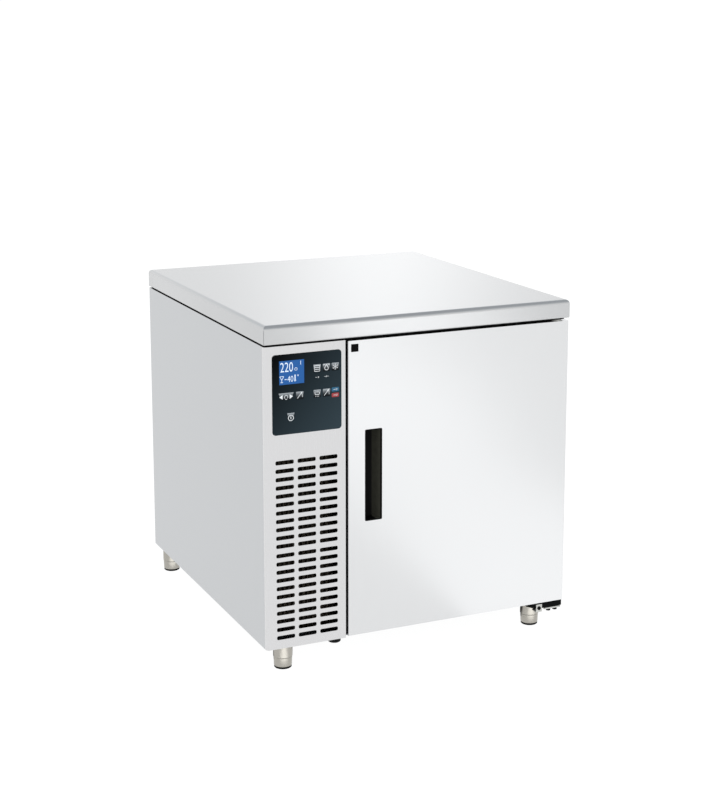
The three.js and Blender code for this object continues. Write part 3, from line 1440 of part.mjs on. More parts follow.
const foamInset = DOOR_SHEET + SEAT;
place(
  door,
  "door_foam",
  prism(doorPlan(foamInset, panBack - SEAT), "z", DOOR_FOOT + foamInset, DOOR_TOP - foamInset)
    .subtract(cupForm(SEAT, FRONT_Y, FRONT_Y + CUP_DEPTH + CUP_WALL + SEAT))
    .subtract(bushHoles),
  foam,
);

// Inner pan: a thin sheet pressed out into a shallow dish inside the gasket
const panEdge = 5;
const linerFront = DOOR_BACK;
const linerBack = DOOR_BACK + LINER;
place(
  door,
  "door_liner",
  rectangleSkin(
    insetRings(
      [
        [DISH_INSET + 10 + LINER, linerFront + DISH_HEIGHT],
        [DISH_INSET + LINER, linerFront],
        [panEdge, linerFront],
        [panEdge, linerBack],
        [DISH_INSET, linerBack],
        [DISH_INSET + 10, linerBack + DISH_HEIGHT],
      ],
      DOOR_LEFT, DOOR_RIGHT, DOOR_FOOT, DOOR_TOP,
    ),
    false,
  ),
  brushedSteel,
);

// Magnetic gasket: base strip, bellows neck and magnet strip, mitred at the corners
const gasketBack = FRAME_Y - SEAL_CLEARANCE;
const gasketReach = gasketBack - linerBack;
place(
  door,
  "door_gasket",
  rectangleSkin(
    insetRings(
      [
        [0, 0],
        [0, 0.25],
        [0.22, 0.4],
        [0, 0.65],
        [0, 1],
        [1, 1],
        [1, 0.65],
        [0.78, 0.4],
        [1, 0.25],
        [1, 0],
      ].map(([across, out]) => [
        GASKET_INSET + across * GASKET_WIDTH,
        linerBack + out * gasketReach,
      ]),
      DOOR_LEFT, DOOR_RIGHT, DOOR_FOOT, DOOR_TOP,
    ),
    true,
  ),
  greySeal,
);

// Handle cup: a moulded finger pocket with a thin rim on the door's face
place(
  door,
  "door_handle_cup",
  cupForm(0, FRONT_Y - CUP_RIM, FRONT_Y + CUP_DEPTH + CUP_WALL)
    .add(cupForm(1.6, FRONT_Y - CUP_RIM, FRONT_Y, 4))
    .subtract(
      rectangleSkin(
        [
          { x0: cupLeft + CUP_WALL, x1: cupRight - CUP_WALL, z0: cupFoot + CUP_WALL,
            z1: cupTop - CUP_WALL, y: FRONT_Y - CUP_RIM - 1 },
          { x0: cupLeft + CUP_WALL, x1: cupRight - CUP_WALL - 1, z0: cupFoot + CUP_WALL + 4,
            z1: cupTop - CUP_WALL - 4, y: FRONT_Y + CUP_DEPTH },
        ],
        false,
      ),
    ),
  blackPlastic,
);

/** A flanged hinge bush with its bore open towards the flange, which faces up or down. */
function hingeBush(flange) {
  return turned([
    [PIN_RADIUS + SEAT, flange],
    [BUSH_FLANGE, flange],
    [BUSH_FLANGE, 0],
    [BUSH_RADIUS, 0],
    [BUSH_RADIUS, -PIN_DEPTH - 3],
    [0, -PIN_DEPTH - 3],
    [0, -PIN_DEPTH - 1],
    [PIN_RADIUS + SEAT, -PIN_DEPTH - 1],
    [PIN_RADIUS + SEAT, flange],
  ], 14);
}

place(door, "upper_hinge_bush", hingeBush(DOOR_TOP_GAP - SEAT), whitePlastic,
  [HINGE_X, HINGE_Y, DOOR_TOP]);
place(
  door,
  "lower_hinge_bush",
  hingeBush(DOOR_FOOT - PAN_TOP - SEAT).rotate([180, 0, 0]),
  whitePlastic,
  [HINGE_X, HINGE_Y, DOOR_FOOT],
);

// ------------------------------------------------------------------ hinge arms on the cabinet

// Upper arm: a flat plate screwed on the top panel, round at the pivot, with its pin
const upperArmPlan = new THREE.Shape();
upperArmPlan.moveTo(HINGE_X - ARM_HALF, HINGE_Y);
upperArmPlan.absarc(HINGE_X, HINGE_Y, ARM_HALF, Math.PI, Math.PI * 2);
upperArmPlan.lineTo(HINGE_X + ARM_HALF, FRAME_Y + HINGE_TAIL);
upperArmPlan.lineTo(HINGE_X - ARM_WING, FRAME_Y + HINGE_TAIL);
upperArmPlan.lineTo(HINGE_X - ARM_WING, FRAME_Y + HINGE_TAIL / 8);
upperArmPlan.lineTo(HINGE_X - ARM_HALF, FRAME_Y - HINGE_TAIL / 4);
place(
  cabinet,
  "upper_hinge_arm",
  prism(upperArmPlan, "z", PANEL_TOP, PANEL_TOP + UPPER_ARM_THICK, 5).add(
    bar(HINGE_X, HINGE_Y, PIN_RADIUS, "z", DOOR_TOP - PIN_DEPTH, PANEL_TOP + 1, 12),
  ),
  blackPaint,
);

// Lower arm: a black bar under the base pan that runs out thin to the left, with its pin
const armRight = SIDE_X;
const armLeft = armRight - LOWER_ARM_LENGTH;
const armFoot = BASE_Z - LOWER_ARM_THICK;
const armFront = HINGE_Y - ARM_HALF;
place(
  cabinet,
  "lower_hinge_arm",
  prism(
    polygon([
      [armLeft, BASE_Z],
      [armLeft, BASE_Z - LOWER_ARM_TIP],
      [armLeft + LOWER_ARM_TAPER, armFoot],
      [armRight, armFoot],
      [armRight, BASE_Z],
    ]),
    "y", armFront, armFront + LOWER_ARM_DEPTH,
  ).add(
    bar(HINGE_X, HINGE_Y, PIN_RADIUS, "z", BASE_Z - 1, DOOR_FOOT + PIN_DEPTH, 12),
  ),
  blackPaint,
);

// Zinc plate under the lower arm, held by two hexagon bolts with washers
const plateTop = armFoot - WASHER_THICK;
const boltY = armFront + LOWER_ARM_DEPTH / 2;
let hingePlate = box(armRight - PLATE_LENGTH, armRight, armFront + 2,
  armFront + LOWER_ARM_DEPTH - 2, plateTop - PLATE_THICK, plateTop);
for (const x of [armRight - BOLT_EDGE, armRight - BOLT_EDGE - BOLT_SPACING]) {
  hingePlate = hingePlate
    .add(bar(x, boltY, BOLT_HEAD, "z", plateTop - PLATE_THICK - BOLT_HEIGHT,
      plateTop - PLATE_THICK, 6))
    .add(bar(x, boltY, BOLT_HEAD + 1, "z", plateTop, armFoot, 12));
}
place(cabinet, "lower_hinge_plate", hingePlate, zinc);

// Door stop: a small bright bracket on the front of the lower arm
const stopLeft = armLeft + LOWER_ARM_TAPER;
const stopFoot = armFoot - STOP_DROP;
place(
  cabinet,
  "door_stop",
  joined(
    box(stopLeft, stopLeft + STOP_WIDTH, armFront - STOP_THICK, armFront, stopFoot, BASE_Z - 2),
    box(stopLeft, stopLeft + STOP_WIDTH, armFront - STOP_THICK, armFront + STOP_WIDTH,
      stopFoot, stopFoot + STOP_THICK),
  ),
  zinc,
);

// ------------------------------------------------------------------ legs

const frontLegX = SIDE_X - FRONT_LEG_SIDE;
const frontLegY = FRONT_Y + FRONT_LEG_SETBACK;
const rearLegX = SIDE_X - REAR_LEG_SIDE;
const rearLegY = BACK_Y - REAR_LEG_SETBACK;
const legPlaces = {
  front_left: [-frontLegX, frontLegY],
  front_right: [frontLegX, frontLegY],
  rear_left: [-rearLegX, rearLegY],
  rear_right: [rearLegX, rearLegY],
};
const sleeve = turned([
  [STEM_RADIUS + SEAT, INSERT_SHOWING],
  [SLEEVE_RADIUS, INSERT_SHOWING],
  [SLEEVE_RADIUS, BASE_Z],
  [0, BASE_Z],
  [0, BASE_Z - SLEEVE_END],
  [STEM_RADIUS + SEAT, BASE_Z - SLEEVE_END],
  [STEM_RADIUS + SEAT, INSERT_SHOWING],
], 14);
const insert = turned([
  [0, 0],
  [INSERT_RADIUS - 4, 0],
  [INSERT_RADIUS - 1, 3],
  [INSERT_RADIUS, 8],
  [INSERT_RADIUS, INSERT_SHOWING - SEAT],
  [STEM_RADIUS, INSERT_SHOWING - SEAT],
  [STEM_RADIUS, INSERT_SHOWING + STEM_LENGTH],
  [0, INSERT_SHOWING + STEM_LENGTH],
], 14);
for (const [corner, [x, y]] of Object.entries(legPlaces)) {
  const at = [x, y, 0];
  place(legs, `foot_sleeve_${corner}`, sleeve, plainSteel, at);
  place(legs, `foot_insert_${corner}`, insert, plainSteel, at);
}

export default blastChiller;
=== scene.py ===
"""Looks of a blast chiller: folded stainless sheet round an insulated chamber.

It has one door, a slotted service panel beside it and a machine compartment behind that panel.
"""

import math

import bmesh
import bpy
import numpy as np
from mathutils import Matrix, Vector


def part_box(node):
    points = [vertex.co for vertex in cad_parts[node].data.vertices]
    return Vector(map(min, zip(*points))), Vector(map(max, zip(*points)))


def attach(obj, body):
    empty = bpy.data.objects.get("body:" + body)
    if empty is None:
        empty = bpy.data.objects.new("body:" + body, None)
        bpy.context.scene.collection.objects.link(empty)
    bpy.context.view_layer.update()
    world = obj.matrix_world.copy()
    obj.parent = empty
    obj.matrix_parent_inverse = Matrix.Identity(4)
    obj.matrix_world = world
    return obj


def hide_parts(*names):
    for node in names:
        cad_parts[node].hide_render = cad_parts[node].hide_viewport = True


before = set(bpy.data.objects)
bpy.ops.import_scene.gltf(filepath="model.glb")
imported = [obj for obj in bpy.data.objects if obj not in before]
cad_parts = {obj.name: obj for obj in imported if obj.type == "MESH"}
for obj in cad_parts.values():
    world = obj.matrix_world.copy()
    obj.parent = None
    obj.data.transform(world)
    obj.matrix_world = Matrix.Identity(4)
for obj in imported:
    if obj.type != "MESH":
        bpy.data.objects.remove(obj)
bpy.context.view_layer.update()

# --- Studio -------------------------------------------------------------------------------
# A camera a little above the worktop and to the left, in a white cove: a floor that glows as
# lit paper does, walls of the same white, a brighter panel behind and a dimmer ceiling.

FRAME_HEIGHT = 800  # pixels, the longer side of the picture
FOCAL_PIXELS = 1672.9
EYE = (-1.7449, -3.9062, 1.6022)
EYE_TILT = 79.335  # degrees up from straight down
EYE_TURN = -24.522  # degrees from straight back, to the right
EYE_SHIFT = -0.12


def in_scene(name, data):
    """Puts a mesh, curve, lamp or camera into the scene as an object at the origin."""
    made = bpy.data.objects.new(name, data)
    bpy.context.scene.collection.objects.link(made)
    return made


eye = bpy.data.cameras.new("eye")
eye.sensor_fit = "AUTO"
eye.sensor_width = 36.0
eye.lens = FOCAL_PIXELS * eye.sensor_width / FRAME_HEIGHT
eye.shift_y = EYE_SHIFT
eye.clip_end = 200.0
camera = in_scene("camera", eye)
camera.location = EYE
camera.rotation_euler = (math.radians(EYE_TILT), 0.0, math.radians(EYE_TURN))
bpy.context.scene.camera = camera
bpy.context.scene.view_settings.view_transform = "Standard"


def linear(colour):
    """An sRGB hex colour as linear light: a straight foot up to 0.04, a power of 2.4 above it."""
    shown = np.array([int(colour[i:i + 2], 16) for i in (1, 3, 5)]) / 255
    light = np.where(shown <= 0.04045, shown / 12.92, ((shown + 0.055) / 1.055) ** 2.4)
    return (*light.tolist(), 1.0)


def node(tree, kind, inputs, **settings):
    """Adds a shader node with its settings.

    An input is given by its name or number, as a value or as the socket that feeds it.
    """
    made = tree.nodes.new(kind)
    for key, value in settings.items():
        setattr(made, key, value)
    for key, value in inputs.items():
        if isinstance(value, bpy.types.NodeSocket):
            tree.links.new(value, made.inputs[key])
        else:
            made.inputs[key].default_value = value
    return made


WHITE = linear("#ffffff")
CEILING_TINT = (0.91, 0.955, 1.0, 1.0)  # linear: a shade bluer than the walls
WALL_GLOW = 1.07
CEILING_GLOW = 0.58
BACKDROP_GLOW = 1.05  # what the camera itself sees past the floor
PANEL_HEADING = 25.3  # degrees from straight back, to the right
PANEL_HALF_WIDTH = 6.4  # degrees
PANEL_GLOW = 0.41

studio = bpy.data.worlds.new("studio")
studio.use_nodes = True
bpy.context.scene.world = studio
dome = studio.node_tree
dome.nodes.clear()
towards = node(dome, "ShaderNodeTexCoord", {}).outputs["Generated"]
direction = node(dome, "ShaderNodeSeparateXYZ", {0: towards})
# the walls' full white ends 17 degrees up behind and at the horizon in front
wall_top = node(dome, "ShaderNodeMapRange",
                {"Value": direction.outputs["Y"], "From Min": -0.3, "From Max": 0.3,
                 "To Min": 0.02, "To Max": 0.30}).outputs[0]
walls = node(dome, "ShaderNodeMapRange",
             {"Value": direction.outputs["Z"], "From Min": wall_top, "From Max": 0.80,
              "To Min": WALL_GLOW, "To Max": CEILING_GLOW},
             interpolation_type="SMOOTHSTEP").outputs[0]
ceiling_share = node(dome, "ShaderNodeMapRange",
                     {"Value": direction.outputs["Z"], "From Min": 0.2, "From Max": 0.7}).outputs[0]
room_tint = node(dome, "ShaderNodeMix", {0: ceiling_share, 6: WHITE, 7: CEILING_TINT},
                 data_type="RGBA").outputs[2]
# a tall soft panel behind the object, brightest along its middle
heading = node(dome, "ShaderNodeMath", {0: direction.outputs["X"], 1: direction.outputs["Y"]},
               operation="ARCTAN2").outputs[0]
off_panel = node(dome, "ShaderNodeMath", {0: heading, 1: math.radians(PANEL_HEADING)},
                 operation="SUBTRACT").outputs[0]
aside = node(dome, "ShaderNodeMath", {0: off_panel}, operation="ABSOLUTE").outputs[0]
panel = node(dome, "ShaderNodeMapRange",
             {"Value": aside, "From Min": 0.0, "From Max": math.radians(PANEL_HALF_WIDTH),
              "To Min": PANEL_GLOW, "To Max": 0.0},
             interpolation_type="SMOOTHSTEP").outputs[0]
panel_top = node(dome, "ShaderNodeMapRange",
                 {"Value": direction.outputs["Z"], "From Min": 0.30, "From Max": 0.60,
                  "To Min": 1.0, "To Max": 0.0}).outputs[0]
panel_glow = node(dome, "ShaderNodeMath", {0: panel, 1: panel_top},
                  operation="MULTIPLY").outputs[0]
room_glow = node(dome, "ShaderNodeMath", {0: walls, 1: panel_glow}, operation="ADD").outputs[0]
seen = node(dome, "ShaderNodeLightPath", {}).outputs["Is Camera Ray"]
strength = node(dome, "ShaderNodeMix", {0: seen, 2: room_glow, 3: BACKDROP_GLOW},
                data_type="FLOAT").outputs[0]
tint = node(dome, "ShaderNodeMix", {0: seen, 6: room_tint, 7: WHITE}, data_type="RGBA").outputs[2]
air = node(dome, "ShaderNodeBackground", {"Color": tint, "Strength": strength})
node(dome, "ShaderNodeOutputWorld", {"Surface": air.outputs[0]})

SUN_GLOW = 0.8
SUN_SPREAD = 70  # degrees, as wide as a large soft box overhead
SUN_LEAN = (28, -14)  # degrees about x and y

sun = bpy.data.lights.new("softbox", "SUN")
sun.energy = SUN_GLOW
sun.angle = math.radians(SUN_SPREAD)
softbox = in_scene("softbox", sun)
softbox.rotation_euler = (math.radians(SUN_LEAN[0]), math.radians(SUN_LEAN[1]), 0.0)
softbox.visible_glossy = False

# seamless paper lit from below and above: it shows as plain white, with a faint mottle
PAPER_GLOW = 0.975
FLOOR_REACH = 40.0

paper = bpy.data.materials.new("seamless_paper")
paper.use_nodes = True
paper_tree = paper.node_tree
paper_tree.nodes.clear()
paper_place = node(paper_tree, "ShaderNodeTexCoord", {}).outputs["Object"]
mottle = node(paper_tree, "ShaderNodeTexNoise", {"Vector": paper_place, "Scale": 3.0})
paper_tint = node(paper_tree, "ShaderNodeMix",
                  {0: mottle.outputs["Fac"], 6: linear("#565655"), 7: linear("#5a5a5a")},
                  data_type="RGBA").outputs[2]
matt = node(paper_tree, "ShaderNodeBsdfDiffuse", {"Color": paper_tint})
lit = node(paper_tree, "ShaderNodeEmission", {"Color": WHITE, "Strength": PAPER_GLOW})
both = node(paper_tree, "ShaderNodeAddShader", {0: matt.outputs[0], 1: lit.outputs[0]})
node(paper_tree, "ShaderNodeOutputMaterial", {"Surface": both.outputs[0]})


def flat_sheet(name, left, right, front, back, height, material):
    """A level rectangle between two x and two y values, in the studio and no part of the object."""
    made = bpy.data.meshes.new(name)
    corners = [(left, front, height), (right, front, height), (right, back, height),
               (left, back, height)]
    made.from_pydata(corners, [], [(0, 1, 2, 3)])
    made.materials.append(material)
    return in_scene(name, made)


floor = flat_sheet("floor", -FLOOR_REACH, FLOOR_REACH, -FLOOR_REACH, FLOOR_REACH, 0.0, paper)


# --- Cabinet sheets -----------------------------------------------------------------------
# Side panels of stainless sheet, brushed upright, with folded front and rear edges. Each
# hooks over the base pan and is screwed to the back panel.

ACROSS_GRAIN = 1100.0  # scratches to the metre
ALONG_GRAIN = 16.0


def finish_of(name):
    """A new node material with its shader and output: returns the material, tree and shader."""
    made = bpy.data.materials.new(name)
    made.use_nodes = True
    made.node_tree.nodes.clear()
    shader = node(made.node_tree, "ShaderNodeBsdfPrincipled", {})
    node(made.node_tree, "ShaderNodeOutputMaterial", {"Surface": shader.outputs[0]})
    return made, made.node_tree, shader


def lay_on(tree, shader, tint, rough=None, relief=None):
    """Feeds a shader its colour and, where a finish has them, its roughness and its relief."""
    for socket, source in (("Base Color", tint), ("Roughness", rough), ("Normal", relief)):
        if source is not None:
            tree.links.new(source, shader.inputs[socket])


def brushed_stainless(name, colour, along, roughness=0.33):
    """Stainless 304 sheet with a 180 grit belt finish: noise drawn out along the grain.

    The scratches are about 0.1 mm wide and 30 to 80 mm long. They are drawn 0.9 mm wide, so
    that they show, and vary tone, roughness and height by a few per cent. Slow clouds about
    300 mm wide stand for the sheet's handling.
    """
    made, tree, shader = finish_of(name)
    place = node(tree, "ShaderNodeTexCoord", {}).outputs["Object"]
    stretch = [ACROSS_GRAIN] * 3
    stretch[along] = ALONG_GRAIN
    grain_place = node(tree, "ShaderNodeMapping", {"Vector": place, "Scale": stretch}).outputs[0]
    grain = node(tree, "ShaderNodeTexNoise",
                 {"Vector": grain_place, "Scale": 1.0, "Detail": 3.0, "Roughness": 0.6}
                 ).outputs["Fac"]
    cloud = node(tree, "ShaderNodeTexNoise",
                 {"Vector": place, "Scale": 3.3, "Detail": 2.0, "Roughness": 0.5}).outputs["Fac"]
    worn = node(tree, "ShaderNodeMix", {0: cloud, 2: grain, 3: 0.5}, data_type="FLOAT").outputs[0]
    base = np.array(linear(colour))[:3]
    dark = (*(base * 0.93).tolist(), 1.0)
    light = (*np.minimum(base * 1.05, 1.0).tolist(), 1.0)
    tint = node(tree, "ShaderNodeMix", {0: worn, 6: dark, 7: light}, data_type="RGBA").outputs[2]
    rough = node(tree, "ShaderNodeMapRange",
                 {"Value": grain, "To Min": roughness - 0.05, "To Max": roughness + 0.05}
                 ).outputs[0]
    relief = node(tree, "ShaderNodeBump", {"Height": grain, "Strength": 0.06, "Distance": 0.0002})
    shader.inputs["Metallic"].default_value = 1.0
    lay_on(tree, shader, tint, rough, relief.outputs[0])
    return made


def dress(material, *names):
    """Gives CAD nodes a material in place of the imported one."""
    for name in names:
        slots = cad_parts[name].data.materials
        slots.clear()
        slots.append(material)


# the side panels' sheet has a darker tone than the same stainless on the door: painted shade, for
# the less lit sides
side_steel_painted_shade = brushed_stainless("stainless_sheet_side_painted_shade", "#c2c4c6", along=2)
dress(side_steel_painted_shade, "left_side_panel", "right_side_panel")


# --- Worktop ------------------------------------------------------------------------------
# One stainless pressing over a board: the edges are rolled down 10 mm round, turned in below
# and meet in a sealed mitre joint at each corner. The grain runs across.

WORKTOP_ROLL = 0.010
WORKTOP_CORNER = 0.0025
INNER_CORNER = 0.0004  # the least radius, further in
WORKTOP_SHEET = 0.0012
WORKTOP_HEM = 0.016
WORKTOP_FLAT = 0.020  # from the edge to the flat top's outline
SKIRT_EASE = 0.002  # where the skirt turns in below
LAND = 0.001  # a short land on each side of a flat keeps its shading flat
CORNER_POINTS = 5

worktop_steel = brushed_stainless("stainless_sheet_worktop", "#c4c5c6", along=0, roughness=0.24)


def piece_of(name, points, faces, material, body, smooth_under=50):
    """Makes a mesh, shaded smooth across edges under an angle in degrees, riding on a body."""
    made = bpy.data.meshes.new(name)
    made.from_pydata(np.asarray(points).reshape(-1, 3).tolist(), [], faces)
    made.shade_smooth()
    made.set_sharp_from_angle(angle=math.radians(smooth_under))
    made.materials.append(material)
    piece = in_scene(name, made)
    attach(piece, body)
    return piece


def skin(rings):
    """Points and faces over a stack of rings, each closed on itself, with both ends capped.

    rings is an array of ring, point and x, y, z. The faces point outwards when each ring runs
    anticlockwise seen from the side the first ring faces.
    """
    count, around = rings.shape[:2]
    at = np.arange(count * around).reshape(count, around)
    ahead = np.roll(at, -1, axis=1)
    walls = np.stack([at[:-1], at[1:], ahead[1:], ahead[:-1]], axis=-1).reshape(-1, 4)
    return rings, walls.tolist() + [at[0].tolist(), at[-1][::-1].tolist()]


def rounded_rectangle(half_width, half_height, radius):
    """Outline of a rectangle with round corners: a quarter circle about each corner's centre.

    It runs anticlockwise from the right end of the top right corner, with CORNER_POINTS points
    to a corner. Sizes given as arrays make one outline each.
    """
    turn = np.linspace(0, math.pi / 2, CORNER_POINTS)
    angles = (np.arange(4)[:, None] * math.pi / 2 + turn).ravel()
    signs = np.repeat([(1, 1), (-1, 1), (-1, -1), (1, -1)], CORNER_POINTS, axis=0)
    sizes = np.stack(np.broadcast_arrays(half_width, half_height, radius), axis=-1)[..., None, :]
    half, radius = sizes[..., :2], sizes[..., 2:]
    return signs * (half - radius) + radius * np.stack([np.cos(angles), np.sin(angles)], axis=-1)


def layered(outlines, heights):
    """Rings of x, y and z for a skin: each outline of x and y at its own height."""
    levels = np.broadcast_to(np.asarray(heights)[:, None, None], (*outlines.shape[:2], 1))
    return np.concatenate([outlines, levels], axis=-1)


low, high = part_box("worktop_skin")
turn = np.linspace(0, math.pi / 2, 9)
roll = np.column_stack([WORKTOP_ROLL * (1 - np.sin(turn)),
                        high.z - WORKTOP_ROLL * (1 - np.cos(turn))])
# how far in from the edge, and how high: the top, the roll, the skirt, the hem and the inside
inset, height = np.array([
    (WORKTOP_FLAT, high.z), (WORKTOP_ROLL + LAND, high.z), *roll,
    (0.0, high.z - WORKTOP_ROLL - LAND), (0.0, low.z + SKIRT_EASE + LAND),
    (0.0, low.z + SKIRT_EASE), (0.3 * SKIRT_EASE, low.z + 0.3 * SKIRT_EASE), (SKIRT_EASE, low.z),
    (WORKTOP_HEM, low.z), (WORKTOP_HEM, low.z + WORKTOP_SHEET),
    (WORKTOP_SHEET, low.z + WORKTOP_SHEET),
    (WORKTOP_SHEET, high.z - WORKTOP_ROLL), (WORKTOP_ROLL, high.z - WORKTOP_SHEET),
    (WORKTOP_FLAT, high.z - WORKTOP_SHEET)]).T
corner = np.maximum(WORKTOP_CORNER - inset, INNER_CORNER)
worktop_rings = layered(rounded_rectangle(high.x - inset, high.y - inset, corner), height)
worktop = piece_of("worktop_pressing", *skin(worktop_rings), worktop_steel, "cabinet")
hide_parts("worktop_skin")

REFLECTOR_LIFT = 0.001


def reflector(name, near, far, width, glow, *lit_pieces):
    """A flat board of light on the floor, from one point of x and y to another.

    It faces up, lights only the pieces given and isn't seen itself.
    """
    near, far = np.array(near), np.array(far)
    along = far - near
    length = float(np.hypot(*along))
    board = bpy.data.lights.new(name, "AREA")
    board.shape = "RECTANGLE"
    board.size = width
    board.size_y = length
    board.energy = glow * math.pi * width * length
    held = in_scene(name, board)
    held.location = (*((near + far) / 2).tolist(), REFLECTOR_LIFT)
    held.rotation_euler = (math.pi, 0.0, math.atan2(-along[0], along[1]))
    held.visible_camera = False
    only = bpy.data.collections.new(name + "_lights")
    for piece in lit_pieces:
        only.objects.link(piece)
    held.light_linking.receiver_collection = only


reflector("worktop_reflector", (1.64, -3.0), (2.02, -7.0), 1.8, 1.02, worktop)


def repeated(faces, points_each, copies):
    """The faces of a shape with so many points, once for each copy of its points."""
    firsts = points_each * np.arange(copies)[:, None, None]
    return (np.array(faces) + firsts).reshape(-1, len(faces[0])).tolist()


def plain_finish(name, colour, deeper, roughness, metallic=0.0, grit_mm=0.4, mottle_mm=25.0,
                 bump_mm=0.03, specular=0.5):
    """A finish without grain: a fine grit in roughness and height, a slow mottle in tone.

    The grit moves roughness by 0.06 either way, and stands a quarter of bump_mm high.
    """
    made, tree, shader = finish_of(name)
    place = node(tree, "ShaderNodeTexCoord", {}).outputs["Object"]
    grit = node(tree, "ShaderNodeTexNoise",
                {"Vector": place, "Scale": 1000.0 / grit_mm, "Detail": 2.0}).outputs["Fac"]
    mottle = node(tree, "ShaderNodeTexNoise",
                  {"Vector": place, "Scale": 1000.0 / mottle_mm, "Detail": 3.0}).outputs["Fac"]
    tint = node(tree, "ShaderNodeMix", {0: mottle, 6: linear(colour), 7: linear(deeper)},
                data_type="RGBA").outputs[2]
    rough = node(tree, "ShaderNodeMapRange",
                 {"Value": grit, "To Min": roughness - 0.06, "To Max": roughness + 0.06}
                 ).outputs[0]
    relief = node(tree, "ShaderNodeBump",
                  {"Height": grit, "Strength": 0.25, "Distance": bump_mm / 1000}).outputs[0]
    shader.inputs["Metallic"].default_value = metallic
    shader.inputs["Specular IOR Level"].default_value = specular
    lay_on(tree, shader, tint, rough, relief)
    return made


# mitre joints: a three-sided strip of sealant down each corner, its ridge just proud of it.
# Grey sealant is dull, with a fine grain from the finger that smoothed it
JOINT_WIDTH = 0.0016
JOINT_DEPTH = 0.0003
JOINT_PROUD = 0.00006
joint_sealant = plain_finish("grey_sealant", "#414548", "#37393c", 0.6, grit_mm=0.8, bump_mm=0.02,
                             specular=0.2)
# from just under the roll down to just above the turned-in edge
joint_ends = np.array([high.z - WORKTOP_ROLL - 0.0005, low.z + 0.0015])
corners = np.array([(-1, -1), (1, -1), (1, 1), (-1, 1)])
outward = corners / math.sqrt(2)
sideways = np.stack([outward[:, 1], -outward[:, 0]], axis=-1)
ridge = corners * (high.x - WORKTOP_CORNER, high.y - WORKTOP_CORNER) \
    + outward * (WORKTOP_CORNER + JOINT_PROUD)
beside, behind = sideways * JOINT_WIDTH / 2, outward * JOINT_DEPTH
plan = np.stack([ridge - beside - behind, ridge, ridge + beside - behind], axis=1)
joint_points = np.column_stack([np.repeat(plan.reshape(-1, 2), 2, axis=0),
                                np.tile(joint_ends, 12)])
joint_faces = repeated([(0, 2, 3, 1), (2, 4, 5, 3), (4, 0, 1, 5)], 6, 4) \
    + repeated([(0, 4, 2), (1, 3, 5)], 6, 4)
joints = piece_of("worktop_corner_joints", joint_points, joint_faces, joint_sealant, "cabinet")

# moisture-proof board under the pressing; its near black is painted shade, the dark that the shadow
# gap shows
BOARD_EASE = WORKTOP_ROLL - 0.0005  # planed off under the roll
BOARD_CORNER = 0.002
BOARD_FOOT_EASE = 0.001
board_painted_shade = plain_finish("worktop_board_painted_shade", "#1b1b1b", "#131313", 0.6, grit_mm=0.8,
                          mottle_mm=14.0, bump_mm=0.02, specular=0.1)
low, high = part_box("worktop_core")
inset = np.array([BOARD_EASE, 0.0, 0.0, BOARD_FOOT_EASE])
height = [high.z, high.z - BOARD_EASE, low.z + BOARD_FOOT_EASE, low.z]
board_rings = layered(rounded_rectangle(high.x - inset, high.y - inset, BOARD_CORNER), height)
board = piece_of("worktop_board", *skin(board_rings), board_painted_shade, "cabinet")
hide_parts("worktop_core")


# --- Galvanised sheets --------------------------------------------------------------------
# The sheets nobody sees from the front: back, base pan, partition and fan shroud. Zinc dries
# in dull blue-grey flakes about 12 mm across.

galvanised_sheet = plain_finish("galvanised_sheet", "#b3b8bb", "#9aa1a5", 0.42, metallic=1.0,
                                grit_mm=1.5, mottle_mm=12.0, bump_mm=0.01)
dress(galvanised_sheet, "back_panel", "base_pan", "partition_panel", "condenser_shroud")

# sixteen flanged screws round the back panel. The outer two columns sit on the side panels'
# flanges, which lap over the back. Bright zinc is smooth and nearly mirror-like
SCREW_EDGE = 0.013  # from the panel's top and bottom edges
SCREW_FLANGE = 0.011  # from the outer faces of the side panels
SCREW_TURNS = 18  # points round a head
screw_steel = plain_finish("bright_zinc_screw", "#e2e2de", "#c9c9c5", 0.2, metallic=1.0,
                           grit_mm=0.6, bump_mm=0.004)


def screw_head(profile, centre, facing):
    """Rings of a head: a profile of radius and height turned about a line along y.

    facing is 1 for a head that looks to the back and -1 for one that looks to the front.
    """
    radius, height = np.array(profile).T[:, :, None]
    turn = np.arange(SCREW_TURNS) * 2 * math.pi / SCREW_TURNS
    return np.stack([centre[0] - facing * radius * np.cos(turn),
                     centre[1] + facing * height + 0 * turn,
                     centre[2] + radius * np.sin(turn)], axis=-1)


# socket, crown, flange, and a foot let into the sheet
head, head_faces = skin(screw_head(
    [(0.0015, 0.0003), (0.0021, 0.0018), (0.0034, 0.0016), (0.0040, 0.0010), (0.0042, 0.0006),
     (0.0057, 0.0004), (0.0060, -0.0004)], (0.0, 0.0, 0.0), 1))
low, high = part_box("back_panel")
side_low, side_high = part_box("left_side_panel")
side_edge = -side_low.x - SCREW_FLANGE
across, up = np.meshgrid(np.linspace(-side_edge, side_edge, 5),
                         np.linspace(low.z + SCREW_EDGE, high.z - SCREW_EDGE, 5))
seat = np.full(across.shape, high.y)
seat[:, [0, -1]] = side_high.y
edge = np.ones(across.shape, bool)
edge[1:-1, 1:-1] = False
screw_places = np.stack([across, seat, up], axis=-1)[edge]
screw_points = head.reshape(1, -1, 3) + screw_places[:, None]
points_each, screw_count = screw_points.shape[1], screw_points.shape[0]
screw_faces = repeated(head_faces[:-2], points_each, screw_count) \
    + repeated(head_faces[-2:], points_each, screw_count)
screws = piece_of("back_panel_screws", screw_points, screw_faces, screw_steel, "cabinet")


# --- Service panel ------------------------------------------------------------------------
# Stainless front of the machine compartment, folded round on the left and back on the right,
# with 66 punched air slots in two blocks and a window for the display.

